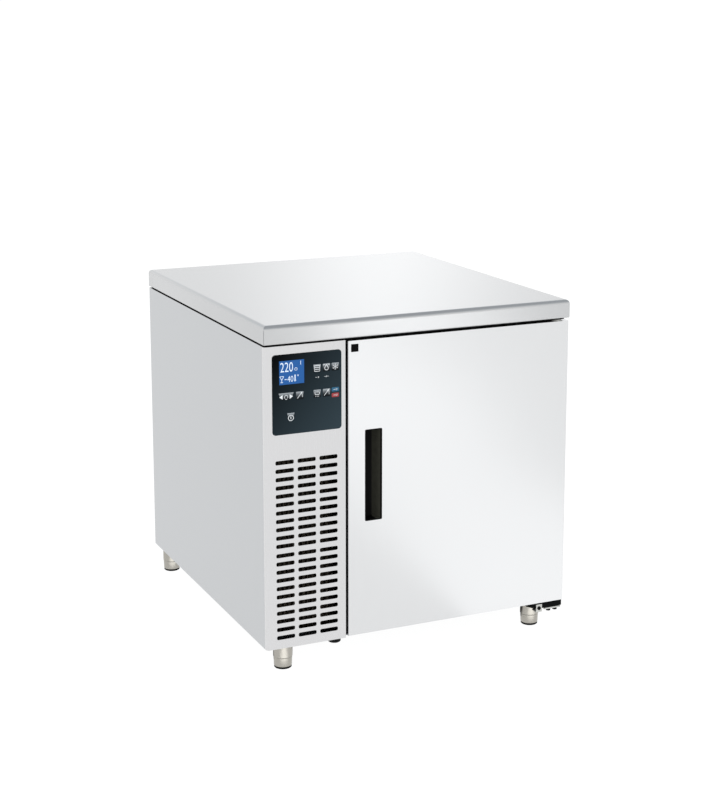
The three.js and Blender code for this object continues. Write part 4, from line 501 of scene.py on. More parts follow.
SLOT_LONG = 0.0460
SLOT_HIGH = 0.0099
SLOT_ROUND = 0.0036
SLOT_STEP = 0.0553
SLOT_PITCH = 0.0202
SLOT_ROWS = 11
SLOT_COLUMNS = 3
BLOCK_GAP = 0.0028
FIRST_SLOT = (-0.3780, 0.5245)  # left end and middle height of the top left slot
WINDOW_X = (-0.3670, -0.3045)
WINDOW_Z = (0.7090, 0.7655)
STRIP_TOP = 0.560
LEFT_BEND = 0.008
LEFT_LAND = 0.005
RIGHT_BEND = 0.002
PANEL_SHEET = 0.0012
WELD = 0.00002  # points closer than this are one
SHARP = math.radians(40)

# the service panel's sheet has a tone between the door's and the sides': painted shade, for a face
# less lit than the door
service_steel_painted_shade = brushed_stainless("stainless_sheet_service_painted_shade", "#d7d7d8", along=2, roughness=0.26)


def quads(xs, zs, open_x=(), open_z=()):
    """The rectangles between x and z lines, seen from the front.

    The ones that are both in an open column and in an open row are left out.
    """
    i, j = np.meshgrid(np.arange(len(xs) - 1), np.arange(len(zs) - 1), indexing="ij")
    kept = ~(np.isin(i, open_x) & np.isin(j, open_z))
    across = i[kept][:, None] + [0, 1, 1, 0]
    up = j[kept][:, None] + [0, 0, 1, 1]
    return np.stack([np.asarray(xs)[across], np.asarray(zs)[up]], axis=-1)


def slotted(xs, zs):
    """Four faces round a slot in the middle of each rectangle between the x and z lines.

    Each face runs along one side of the rectangle, from one corner to the next, and back along
    the slot, from the middle point of one round corner to the middle point of the next.
    """
    slot = rounded_rectangle(SLOT_LONG / 2, SLOT_HIGH / 2, SLOT_ROUND)
    half = np.array([xs[1] - xs[0], abs(zs[1] - zs[0])]) / 2
    outline = np.concatenate([slot, half * [(1, 1), (-1, 1), (-1, -1), (1, -1)]])
    side = np.arange(4)
    after = (side + 1) % 4
    here, there = side * CORNER_POINTS, after * CORNER_POINTS
    faces = np.stack([len(slot) + side, len(slot) + after, there + 2, there + 1, there,
                      here + 4, here + 3, here + 2], axis=1)
    x, z = np.meshgrid((xs[:-1] + xs[1:]) / 2, (zs[:-1] + zs[1:]) / 2)
    centres = np.stack([x, z], axis=-1).reshape(-1, 1, 1, 2)
    return (centres + outline[faces]).reshape(-1, 8, 2)


low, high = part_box("service_panel")
flat = (low.x + LEFT_BEND, high.x - RIGHT_BEND)
cell_x = FIRST_SLOT[0] - (SLOT_STEP - SLOT_LONG) / 2 + SLOT_STEP * np.arange(SLOT_COLUMNS + 1)
rows_above = FIRST_SLOT[1] + SLOT_PITCH / 2 - SLOT_PITCH * np.arange(SLOT_ROWS + 1)
rows_below = rows_above[-1] - BLOCK_GAP - SLOT_PITCH * np.arange(SLOT_ROWS + 1)
slot_lines = np.concatenate([[low.z], rows_below[::-1], rows_above[::-1]])
window_lines = np.array([STRIP_TOP, *WINDOW_Z, high.z])
slot_sides = np.array([flat[0], *cell_x, flat[1]])
window_sides = np.array([flat[0], *WINDOW_X, flat[1]])
# the rows that hold slots: all but the foot and the gap between the two blocks
slot_bands = np.setdiff1d(np.arange(len(slot_lines) - 1), (0, SLOT_ROWS + 1))
# one strip joins the slots' lines below it to the window's lines above it
strip = np.concatenate([
    np.stack([slot_sides, np.full(len(slot_sides), slot_lines[-1])], axis=-1),
    np.stack([window_sides[::-1], np.full(len(window_sides), STRIP_TOP)], axis=-1)])[None]
bend = np.linspace(0, math.pi / 2, 7)
left_fold = np.concatenate([
    [(low.x, low.y + LEFT_BEND + LEFT_LAND)],
    np.column_stack([flat[0] - LEFT_BEND * np.cos(bend), low.y + LEFT_BEND * (1 - np.sin(bend))])])
right_fold = np.concatenate([
    np.column_stack([flat[1] + RIGHT_BEND * np.sin(bend),
                     low.y + RIGHT_BEND * (1 - np.cos(bend))]),
    [(high.x, high.y)]])


def folded(fold):
    """Rectangles up a fold of the panel, given by points of x and y, on the panel's own lines."""
    spots = quads(np.arange(len(fold)), np.concatenate([slot_lines, window_lines]))
    return np.concatenate([fold[spots[..., 0].astype(int)], spots[..., 1:]], axis=-1)


front = (quads(slot_sides, slot_lines, 1 + np.arange(SLOT_COLUMNS), slot_bands),
         slotted(cell_x, rows_below), slotted(cell_x, rows_above), strip,
         quads(window_sides, window_lines, (1,), (1,)))
panel_parts = [np.insert(part, 1, low.y, axis=-1) for part in front] \
    + [folded(left_fold), folded(right_fold)]
panel_points, panel_faces = [], []
for part in panel_parts:
    numbers = len(panel_points) + np.arange(part.shape[0] * part.shape[1])
    panel_faces += numbers.reshape(part.shape[:2]).tolist()
    panel_points += part.reshape(-1, 3).tolist()

sheet = piece_of("service_panel_sheet", panel_points, panel_faces, service_steel_painted_shade, "cabinet")
welded = bmesh.new()
welded.from_mesh(sheet.data)
bmesh.ops.remove_doubles(welded, verts=welded.verts, dist=WELD)
welded.to_mesh(sheet.data)
welded.free()
sheet.data.shade_smooth()
sheet.data.set_sharp_from_angle(angle=SHARP)
thick = sheet.modifiers.new("sheet", "SOLIDIFY")
thick.thickness = PANEL_SHEET
thick.offset = -1.0
folds = sheet.modifiers.new("crisp_edges", "EDGE_SPLIT")
folds.split_angle = SHARP
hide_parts("service_panel")

# black powder coat: a fine orange peel, dull enough to look black beside the white sheets.
# On the post behind the door's gap and the top panel under the worktop's shadow gap, the black
# is painted shade; it also covers the other black metal of the machine
black_powder_and_gap_shade = plain_finish("black_powder_coat_and_painted_shade", "#0b0c0d", "#070808", 0.6, grit_mm=1.2,
                            bump_mm=0.05, specular=0.06)
dress(black_powder_and_gap_shade, "centre_post", "top_panel", "evap_fan_motor_1", "evap_fan_motor_2",
      "condenser_fan_motor", "compressor", "upper_hinge_arm", "lower_hinge_arm")


# --- Control panel ------------------------------------------------------------------------
# One printed polyester film over flat keys, with a blue display behind a clear window. The
# signs are plain marks, screen-printed in pale grey, and the keys are shaded fields.

FILM_GRIT = 2500.0  # the film's fine texture is 0.4 mm across
keypad_film, film_tree, film_shader = finish_of("screen_printed_polyester_film")
film_place = node(film_tree, "ShaderNodeTexCoord", {}).outputs["Object"]
# satin film: dull, finely textured reflections over ink that is near black at the top left and
# slate at the bottom right
ink_place = node(film_tree, "ShaderNodeVectorMath", {0: film_place, 1: (3.6, 0.0, -3.0)},
                 operation="DOT_PRODUCT").outputs["Value"]
ink_share = node(film_tree, "ShaderNodeMapRange",
                 {"Value": ink_place, "From Min": -3.66, "From Max": -2.60}).outputs[0]
ink_tint = node(film_tree, "ShaderNodeMix",
                {0: ink_share, 6: linear("#080a0c"), 7: linear("#323f46")},
                data_type="RGBA").outputs[2]
film_grit = node(film_tree, "ShaderNodeTexNoise",
                 {"Vector": film_place, "Scale": FILM_GRIT, "Detail": 2.0}).outputs["Fac"]
film_rough = node(film_tree, "ShaderNodeMapRange",
                  {"Value": film_grit, "To Min": 0.40, "To Max": 0.52}).outputs[0]
film_shader.inputs["Specular IOR Level"].default_value = 0.02
lay_on(film_tree, film_shader, ink_tint, film_rough)
dress(keypad_film, "control_overlay")


def lit_rows(name, dim, bright, glow, roughness):
    """A lit liquid crystal: dot rows 0.6 mm apart, drawn 1.2 mm apart so that they show."""
    made, tree, shader = finish_of(name)
    place = node(tree, "ShaderNodeTexCoord", {}).outputs["Object"]
    # a wave repeats once in pi / 10 of its own units
    rows = node(tree, "ShaderNodeTexWave", {"Vector": place, "Scale": 100 * math.pi / 1.2},
                bands_direction="Z").outputs["Fac"]
    tint = node(tree, "ShaderNodeMix", {0: rows, 6: linear(dim), 7: linear(bright)},
                data_type="RGBA").outputs[2]
    shader.inputs["Emission Strength"].default_value = glow
    shader.inputs["Roughness"].default_value = roughness
    tree.links.new(tint, shader.inputs["Emission Color"])
    lay_on(tree, shader, tint)
    return made, shader


blue_display, display_shader = lit_rows("lit_blue_display", "#265795", "#2f61a2", 0.12, 0.2)
display_shader.inputs["Specular IOR Level"].default_value = 0.08
dress(blue_display, "control_display")
lit_digit, _ = lit_rows("lit_white_digits", "#cfe0f2", "#e6f0fa", 0.2, 0.4)

# screen inks: a thin even coat with hardly any relief
white_ink = plain_finish("pale_screen_ink", "#eef2f4", "#e6ebee", 0.5, grit_mm=0.5,
                         bump_mm=0.002)
blue_ink = plain_finish("blue_screen_ink", "#166184", "#125676", 0.5, grit_mm=0.5, bump_mm=0.002)
red_ink = plain_finish("red_screen_ink", "#a83236", "#962b2f", 0.5, grit_mm=0.5, bump_mm=0.002)

# shaded key fields: pale grey along the top, fading into the film above the middle
shaded_key, key_tree, key_shader = finish_of("shaded_key_print")
fade_place = node(key_tree, "ShaderNodeUVMap", {}, uv_map="fade").outputs["UV"]
fade = node(key_tree, "ShaderNodeSeparateXYZ", {0: fade_place}).outputs["Y"]
fade_curve = node(key_tree, "ShaderNodeMath", {0: fade, 1: 2.6}, operation="POWER").outputs[0]
key_place = node(key_tree, "ShaderNodeTexCoord", {}).outputs["Object"]
key_grit = node(key_tree, "ShaderNodeTexNoise", {"Vector": key_place, "Scale": FILM_GRIT})
key_tint = node(key_tree, "ShaderNodeMix",
                {0: fade_curve, 6: linear("#11161a"), 7: linear("#a9b0b5")},
                data_type="RGBA").outputs[2]
key_rough = node(key_tree, "ShaderNodeMapRange",
                 {"Value": key_grit.outputs["Fac"], "To Min": 0.35, "To Max": 0.5}).outputs[0]
key_shader.inputs["Specular IOR Level"].default_value = 0.06
lay_on(key_tree, key_shader, key_tint, key_rough)


def printed(name, outlines, y, material):
    """Flat printed shapes facing the front: closed outlines of x and z in mm, one face each."""
    points = np.insert(np.concatenate(outlines) / 1000, 1, y, axis=1)
    ends = np.cumsum([len(outline) for outline in outlines])
    faces = [face.tolist() for face in np.split(np.arange(len(points)), ends[:-1])]
    piece = piece_of(name, points, faces, material, "cabinet")
    return piece


def line(path, width):
    """A pen line of constant width along points of x and z: each segment is one rectangle."""
    path = np.array(path, float)
    along = np.diff(path, axis=0)
    side = np.column_stack([along[:, 1], -along[:, 0]]) * width / 2
    side /= np.linalg.norm(along, axis=1)[:, None]
    return np.stack([path[:-1] - side, path[:-1] + side, path[1:] + side, path[1:] - side],
                    axis=1)


def arc(x, z, radius, start, end, width, steps=14):
    """A pen line round part of a circle, angles in degrees."""
    angles = np.radians(np.linspace(start, end, steps))
    circle = np.column_stack([x + radius * np.cos(angles), z + radius * np.sin(angles)])
    return line(circle, width)


def drawn(middle, *shapes):
    """Shapes drawn about a middle, moved to where it is, as a list of outlines."""
    return [outline + middle for shape in shapes for outline in np.asarray(shape, float)]


# the keys, in mm of x and z about the middle of each
KEY = 18.5
KEY_ROUND = 1.6
TOP_ROW, BOTTOM_ROW = 740.5, 680.5
TRAY_KEY, DROP_KEY, FLAKE_KEY = (-272.5, TOP_ROW), (-249.0, TOP_ROW), (-226.7, TOP_ROW)
PAN_KEY, PROBE_KEY, SPIKE_KEY = (-272.5, BOTTOM_ROW), (-249.0, BOTTOM_ROW), (-316.2, BOTTOM_ROW)
LEFT_ARROW, ROCKER, RIGHT_ARROW = (-362.0, BOTTOM_ROW), (-350.2, BOTTOM_ROW), (-338.5, BOTTOM_ROW)
START_KEY = (-338.8, 632.0)
COLD_PILL, WARM_PILL = (-226.7, 686.3), (-226.7, 672.8)
PRINT_LIFT = 0.00012  # the inks' height over what they are printed on

film_low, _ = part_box("control_overlay")
key_y = film_low.y - PRINT_LIFT
key_outline = rounded_rectangle(KEY / 2, KEY / 2, KEY_ROUND)
rocker = np.array([(-16.0, 1.5), (-9.5, -7.5), (9.5, -7.5), (16.0, 1.5), (18.5, 9.2), (-18.5, 9.2)])
start_cap = np.array([(-7.6, 2.0), (0.0, -4.0), (7.6, 2.0), (9.0, 9.2), (-9.0, 9.2)])
key_outlines = [key_outline + key for key in (TRAY_KEY, DROP_KEY, FLAKE_KEY, PAN_KEY, PROBE_KEY,
                                              SPIKE_KEY)]
key_outlines += [rocker + ROCKER, start_cap + START_KEY]
keys = printed("key_fields", key_outlines, key_y, shaded_key)
# the fade runs up each key's own row, from 0 at its foot to 1 at its top
fade_map = keys.data.uv_layers.new(name="fade")
corner_of = np.zeros(len(keys.data.loops), int)
keys.data.loops.foreach_get("vertex_index", corner_of)
places = np.concatenate(key_outlines)[corner_of]
rows = np.array([TOP_ROW, BOTTOM_ROW, START_KEY[1]])
row_foot = rows[np.abs(places[:, 1:] - rows).argmin(axis=1)] - KEY / 2
fade_share = (places[:, 1] - row_foot) / KEY
fade_map.data.foreach_set("uv", np.column_stack([0 * fade_share, fade_share]).ravel())

# plain signs: tray, drop, flake, pan, probe, lamp, arrows and the round start key
signs = drawn(TRAY_KEY, *(line([(-6.5, z), (6.5, z)], 1.3) for z in (6.5, 2.0, -2.5, -7.0)),
              *(line([(x, 6.5), (x, -7.0)], 1.1) for x in (-6.5, 6.5)))
signs += drawn(DROP_KEY, arc(0.0, -1.5, 4.6, -200, 20, 1.4),
               line([(-4.3, 0.0), (0.0, 7.5), (4.3, 0.0)], 1.4),
               line([(-8.0, 6.0), (-3.5, 8.0)], 1.0), line([(3.5, 8.0), (8.0, 6.0)], 1.0))
FLAKE_ARM = 7.0
FLAKE_TWIG = 2.8
for angle in (0, 60, 120):
    arm = FLAKE_ARM * np.array([math.sin(math.radians(angle)), math.cos(math.radians(angle))])
    signs += drawn(FLAKE_KEY, line([-arm, arm], 1.1))
    for fork, turned_by in ((-0.62, 180), (0.62, 0)):
        for side in (-35, 35):
            twig = math.radians(angle + side + turned_by)
            tip = arm * fork + FLAKE_TWIG * np.array([math.sin(twig), math.cos(twig)])
            signs += drawn(FLAKE_KEY, line([arm * fork, tip], 0.8))
signs += drawn(PAN_KEY, line([(-6.0, 3.5), (-5.0, -2.0), (5.0, -2.0), (6.0, 3.5)], 1.3))
for x in (-3.5, 0.0, 3.5):
    signs += drawn(PAN_KEY, line([(x, -5.0), (x, -7.7)], 0.9),
                   line([(x, 2.5), (x + 0.8, 6.1)], 0.9))
for key in (PROBE_KEY, SPIKE_KEY):
    signs += drawn(key, line([(-6.0, -6.5), (3.0, 4.5)], 1.2), line([(1.5, 2.7), (5.5, 7.1)], 2.8),
                   line([(6.0, 4.5), (6.5, -4.5)], 0.8))
signs += drawn(ROCKER, arc(0.0, -0.5, 4.2, -50, 230, 1.1), line([(-2.2, -5.9), (2.2, -5.9)], 1.2))
signs += drawn(LEFT_ARROW, [[(-5.0, 0.0), (3.0, -5.5), (3.0, 5.5)]])
signs += drawn(RIGHT_ARROW, [[(-3.0, -5.5), (5.0, 0.0), (-3.0, 5.5)]])
signs += drawn(START_KEY, arc(0.0, -2.6, 6.4, 0, 360, 1.5, 28),
               line([(0.0, -5.6), (0.0, 1.0)], 1.7))
signs += drawn(TRAY_KEY, line([(-4.0, -21.0), (-0.8, -21.0)], 0.9),
               line([(1.0, -21.0), (5.0, -21.0)], 0.9), line([(3.0, -23.0), (3.0, -19.0)], 0.9))
signs += drawn(DROP_KEY, line([(-5.0, -21.0), (5.0, -21.0)], 0.8),
               line([(0.0, -23.0), (0.0, -19.0)], 0.8))
sign_y = key_y - PRINT_LIFT
printed("key_signs", signs, sign_y, white_ink)

pill = rounded_rectangle(9.2, 4.9, 2.2)
printed("cold_pill", [pill + COLD_PILL], key_y, blue_ink)
printed("warm_pill", [pill + WARM_PILL], key_y, red_ink)
pill_mark = (line([(-4.5, 0.0), (-0.5, 0.0)], 1.0), arc(3.0, 0.0, 1.8, 0, 360, 0.8))
printed("pill_marks", drawn(COLD_PILL, *pill_mark) + drawn(WARM_PILL, *pill_mark), sign_y,
        white_ink)


def digits(name, text, left, foot, height, width, y, material):
    """Plain numerals as flat faces, scaled to a height and a whole width in mm."""
    letters = bpy.data.curves.new(name, "FONT")
    letters.body = text
    letters.offset = -0.004  # a little lighter than the face's own weight
    letters.resolution_u = 3  # few points to a curve, as the numerals are small
    shape = in_scene(name, letters)
    bpy.context.view_layer.update()
    flat_text = bpy.data.meshes.new_from_object(shape)
    bpy.data.objects.remove(shape)
    ink = np.zeros(len(flat_text.vertices) * 3)
    flat_text.vertices.foreach_get("co", ink)
    ink = ink.reshape(-1, 3)[:, :2]
    ink = (ink - ink.min(axis=0)) / np.ptp(ink, axis=0)
    points = np.insert((ink * (width, height) + (left, foot)) / 1000, 1, y, axis=1)
    faces = [list(face.vertices) for face in flat_text.polygons]
    piece = piece_of(name, points, faces, material, "cabinet")
    return piece


# what the display shows, in mm from its window's lower left corner: a time with a clock, and
# a core temperature with a glass, a minus sign and a thermometer
glass_low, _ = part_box("control_display")
glass_y = glass_low.y - PRINT_LIFT
window_left, window_foot = 1000 * WINDOW_X[0], 1000 * WINDOW_Z[0]
digits("display_minutes", "220", window_left + 3.0, window_foot + 29.8, 22.5, 31.5, glass_y,
       lit_digit)
digits("display_degrees", "40", window_left + 20.5, window_foot + 5.8, 14.0, 14.5, glass_y,
       lit_digit)
marks = drawn(
    (window_left, window_foot),
    arc(41.8, 35.0, 3.4, 0, 360, 0.8, 20), line([(41.8, 37.2), (41.8, 35.0), (43.5, 35.0)], 0.7),
    line([(53.6, 44.2), (53.6, 53.5)], 1.2), line([(13.5, 12.5), (18.5, 12.5)], 1.7),
    line([(1.5, 20.0), (6.5, 11.5), (11.5, 20.0), (1.5, 20.0)], 1.3),
    line([(6.5, 11.5), (6.5, 6.0)], 1.3), line([(3.5, 6.0), (9.5, 6.0)], 1.2),
    line([(39.4, 9.0), (39.4, 22.0)], 2.6), arc(39.4, 8.6, 1.6, 0, 360, 2.0),
    arc(46.8, 19.6, 1.6, 0, 360, 0.9, 12))
printed("display_marks", marks, glass_y, lit_digit)

# grey ABS housing behind the film: an even moulded grain
grey_abs = plain_finish("grey_moulded_abs", "#8d9194", "#83878a", 0.5, grit_mm=0.8, bump_mm=0.04)
dress(grey_abs, "control_housing", "front_frame", "power_box")


# --- Insulated body and chamber -----------------------------------------------------------
# Polyurethane foamed between two skins. The chamber liner is deep-drawn stainless, the racks
# are bent strip that hook on its walls and lift off, and the fan guards are bent wire.

# foam shows its skin of small cells, in slow drifts of yellow
foam = plain_finish("polyurethane_foam", "#d8c27e", "#c9b06a", 0.85, grit_mm=1.2, mottle_mm=40.0,
                    bump_mm=0.3)
dress(foam, "foam_body", "door_foam")
chamber_steel = brushed_stainless("stainless_sheet_chamber", "#c9cbcc", along=2, roughness=0.3)
dress(chamber_steel, "chamber_liner", "fan_deflector", "door_liner")
# drawn and electropolished wire and strip: bright, with hardly any texture
polished_wire = plain_finish("polished_stainless_wire", "#c4c4c2", "#b9b9b7", 0.22, metallic=1.0,
                             grit_mm=1.0, bump_mm=0.005)
dress(polished_wire, "rack_left", "rack_right", "evap_fan_guard_1", "evap_fan_guard_2",
      "evaporator_drip_tray")
# moulded black nylon: an even fine grain from the mould, nearly matt
black_nylon = plain_finish("black_glass_filled_nylon", "#090909", "#060606", 0.5, grit_mm=0.8,
                           bump_mm=0.04, specular=0.06)
dress(black_nylon, "evap_fan_rotor_1", "evap_fan_rotor_2", "mains_gland")
white_acetal = plain_finish("white_acetal", "#e4e4df", "#dcdcd6", 0.4, grit_mm=0.8, bump_mm=0.02)
dress(white_acetal, "drain_spout", "upper_hinge_bush", "lower_hinge_bush")


# --- Machine compartment ------------------------------------------------------------------
# Condenser, fan and compressor behind the slots, joined by brazed copper pipe, and below
# them the plug of the wash-out hole in the base pan.

def finned(name, colour, gap_shade, dust_tone, pitch_mm):
    """Fins on tubes: lighter fins with dark gaps at a fixed pitch across, the gaps' dark painted
    shade between the fins; a fifth of it dust.
    """
    made, tree, shader = finish_of(name)
    place = node(tree, "ShaderNodeTexCoord", {}).outputs["Object"]
    # a wave repeats once in pi / 10 of its own units
    fins = node(tree, "ShaderNodeTexWave",
                {"Vector": place, "Scale": 100 * math.pi / pitch_mm, "Distortion": 0.0},
                bands_direction="X").outputs["Fac"]
    dust = node(tree, "ShaderNodeTexNoise",
                {"Vector": place, "Scale": 40.0, "Detail": 4.0}).outputs["Fac"]
    clean = node(tree, "ShaderNodeMix", {0: fins, 6: linear(gap_shade), 7: linear(colour)},
                 data_type="RGBA").outputs[2]
    tint = node(tree, "ShaderNodeMix", {0: 0.2, 6: clean, 7: linear(dust_tone)},
                data_type="RGBA").outputs[2]
    rough = node(tree, "ShaderNodeMapRange",
                 {"Value": dust, "To Min": 0.3, "To Max": 0.55}).outputs[0]
    relief = node(tree, "ShaderNodeBump", {"Height": fins, "Strength": 0.5, "Distance": 0.0006})
    shader.inputs["Metallic"].default_value = 1.0
    lay_on(tree, shader, tint, rough, relief.outputs[0])
    return made


# the condenser's fins have a dark tone: painted shade, the shade behind the slots
dress(finned("condenser_fins_painted_shade", "#6c655b", "#2a2622", "#55504a", 3.0), "condenser_coil")
dress(finned("evaporator_fins", "#ccd0d2", "#3c4043", "#8e8b84", 4.0), "evaporator_coil")
bare_aluminium = plain_finish("pressed_aluminium", "#b9bcbe", "#aeb1b3", 0.35, metallic=1.0,
                              grit_mm=1.0)
dress(bare_aluminium, "condenser_fan_rotor")
# drawn copper darkens in patches where the brazing has heated it
copper_pipe = plain_finish("drawn_copper_pipe", "#b8714c", "#8f5538", 0.3, metallic=1.0,
                           grit_mm=0.8, mottle_mm=18.0, bump_mm=0.01)
dress(copper_pipe, "discharge_pipe", "liquid_pipe", "filter_drier", "feed_pipe", "suction_pipe")
black_rubber = plain_finish("black_moulded_rubber", "#0e0f10", "#0a0a0b", 0.6, grit_mm=0.7,
                            bump_mm=0.05, specular=0.12)


def middle_of(low, high):
    """The x and y of the middle of a box."""
    return (low.x + high.x) / 2, (low.y + high.y) / 2


def turned(name, profile, centre, material, body, steps=72):
    """A solid of revolution: radius and height, from the top down, turned about an upright axis."""
    angles = np.arange(steps) * 2 * math.pi / steps
    radius, height = np.array(profile).T[:, :, None]
    rings = np.stack([centre[0] + radius * np.cos(angles), centre[1] + radius * np.sin(angles),
                      height + 0 * angles], axis=-1)
    return piece_of(name, *skin(rings), material, body)


# a headed rubber bung with a rounded foot
low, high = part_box("base_plug")
plug = turned("wash_out_plug",
              [(0.0125, high.z), (0.0125, 0.0700), (0.0150, 0.0698), (0.0156, 0.0680),
               (0.0156, 0.0605), (0.0150, 0.0585), (0.0135, 0.0575)],
              middle_of(low, high), black_rubber, "cabinet")
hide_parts("base_plug")


# --- Door ---------------------------------------------------------------------------------
# A stainless pan folded round foam, closed by an inner pan, with a magnetic seal round the
# edge, a black cup let into the front as the handle, and a bare square plate stuck on.

# the door's sheet has a lighter tone than the same stainless on the sides and the service panel:
# painted light, for the most lit face
door_steel_painted_light = brushed_stainless("stainless_sheet_door_painted_light", "#dcddde", along=2, roughness=0.24)
dress(door_steel_painted_light, "door_skin")
door_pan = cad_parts["door_skin"]
reflector("door_near_reflector", (0.54, -0.50), (0.78, -2.30), 0.68, 0.22, door_pan)
reflector("door_far_reflector", (0.76, -2.30), (1.95, -6.80), 1.0, 0.33, door_pan)
# soft extruded vinyl, dull and a little dusty
seal_vinyl = plain_finish("grey_soft_vinyl", "#6f7274", "#64676a", 0.65, grit_mm=0.8, bump_mm=0.03)
dress(seal_vinyl, "door_gasket")

# the cup's nylon: below the rim, on the finger slope, a dull brown-grey in smears about 11 mm
# long is painted light, where the slope faces the light; the rest is black
SLOPE_FOOT = (-0.1225, -0.1195)  # x where the painted light begins and where it is full
RIM_FOOT = (-0.4298, -0.4286)  # the same in y
grip_nylon, grip_tree, grip_shader = finish_of("black_nylon_painted_light_slope")
grip_place = node(grip_tree, "ShaderNodeTexCoord", {}).outputs["Object"]
grip_at = node(grip_tree, "ShaderNodeSeparateXYZ", {0: grip_place})
on_slope = node(grip_tree, "ShaderNodeMapRange",
                {"Value": grip_at.outputs["X"], "From Min": SLOPE_FOOT[0],
                 "From Max": SLOPE_FOOT[1]}).outputs[0]
below_rim = node(grip_tree, "ShaderNodeMapRange",
                 {"Value": grip_at.outputs["Y"], "From Min": RIM_FOOT[0],
                  "From Max": RIM_FOOT[1]}).outputs[0]
lit_slope_share = node(grip_tree, "ShaderNodeMath", {0: on_slope, 1: below_rim},
                  operation="MULTIPLY").outputs[0]
grip_mottle = node(grip_tree, "ShaderNodeTexNoise",
                  {"Vector": grip_place, "Scale": 90.0, "Detail": 4.0}).outputs["Fac"]
lit_slope_tint = node(grip_tree, "ShaderNodeMix",
                 {0: grip_mottle, 6: linear("#2b2b26"), 7: linear("#3c3c35")},
                 data_type="RGBA").outputs[2]
grip_tint = node(grip_tree, "ShaderNodeMix", {0: lit_slope_share, 6: linear("#070707"), 7: lit_slope_tint},
                 data_type="RGBA").outputs[2]
grip_rough = node(grip_tree, "ShaderNodeMapRange",
                  {"Value": grip_mottle, "To Min": 0.4, "To Max": 0.6}).outputs[0]
grip_shader.inputs["Specular IOR Level"].default_value = 0.06
lay_on(grip_tree, grip_shader, grip_tint, grip_rough)

CUP_RIM = 0.0008  # how far the rim stands off the sheet
CUP_WALL = 0.0014
low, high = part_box("door_handle_cup")
sheet_y = low.y + CUP_RIM
# outer floor, outer wall, rim and inner wall: how far in on the left, on the right and at the
# top and bottom, then the depth and the corners' radius
in_left, in_right, inset, depth, corner = np.array([
    (CUP_WALL, CUP_WALL, CUP_WALL, high.y, 0.0030),
    (CUP_WALL, CUP_WALL, CUP_WALL, sheet_y + 0.0010, 0.0030),
    (0.0, 0.0, 0.0, sheet_y + 0.0002, 0.0030), (0.0, 0.0, 0.0, low.y + 0.0004, 0.0030),
    (0.0005, 0.0005, 0.0005, low.y, 0.0026), (0.0020, 0.0030, 0.0020, low.y, 0.0022),
    (0.0026, 0.0040, 0.0028, low.y + 0.0010, 0.0022),
    (0.0030, 0.0075, 0.0032, low.y + 0.0090, 0.0024),
    (0.0032, 0.0115, 0.0036, low.y + 0.0180, 0.0026),
    (0.0036, 0.0145, 0.0044, low.y + 0.0245, 0.0030),
    (0.0052, 0.0160, 0.0060, low.y + 0.0260, 0.0030)]).T
left, right = low.x + in_left, high.x - in_right
cup_middle = np.stack(np.broadcast_arrays((left + right) / 2, (low.z + high.z) / 2), axis=-1)
cup_outlines = rounded_rectangle((right - left) / 2, (high.z - low.z) / 2 - inset, corner)
cup_rings = layered(cup_outlines + cup_middle[:, None], depth)[:, ::-1, [0, 2, 1]]
handle = piece_of("moulded_handle_cup", *skin(cup_rings), grip_nylon, "door")
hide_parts("door_handle_cup")

PLATE_SIDE = 0.0185
PLATE_ROUND = 0.0006
PLATE_AT = (-0.1765, 0.7800)
door_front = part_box("door_skin")[0].y
share = np.array([0.97, 1.0, 1.0])  # a small bevel round the face
plate_outline = rounded_rectangle(PLATE_SIDE / 2, PLATE_SIDE / 2, PLATE_ROUND)
plate_rings = layered(plate_outline * share[:, None, None] + PLATE_AT,
                      door_front - np.array([0.0009, 0.0006, 0.0001]))[..., [0, 2, 1]]
door_plate = piece_of("badge_plate", *skin(plate_rings), black_nylon, "door")


# --- Hinges -------------------------------------------------------------------------------
# Two black cranked arms carry the door's pins. The lower one is bolted through a zinc plate
# to the base pan by two dark hexagon bolts, beside a bright bent stop with a screw of its own.

# bright zinc plating: smooth and light, with patches of a slightly darker passivation
bright_zinc = plain_finish("bright_zinc_plate", "#d3d4d0", "#b4b5b1", 0.25, metallic=1.0,
                           grit_mm=1.0, mottle_mm=9.0, bump_mm=0.005)
dress(bright_zinc, "door_stop")
# black oxide on steel: an oily black with little shine. On the hinge's bolts and washers the
# black also stands for the shadows below the plate: painted shade
black_oxide_and_shade = plain_finish("black_oxide_bolt_and_painted_shade", "#171717", "#0e0e0f", 0.5, grit_mm=0.8,
                           bump_mm=0.01, specular=0.1)

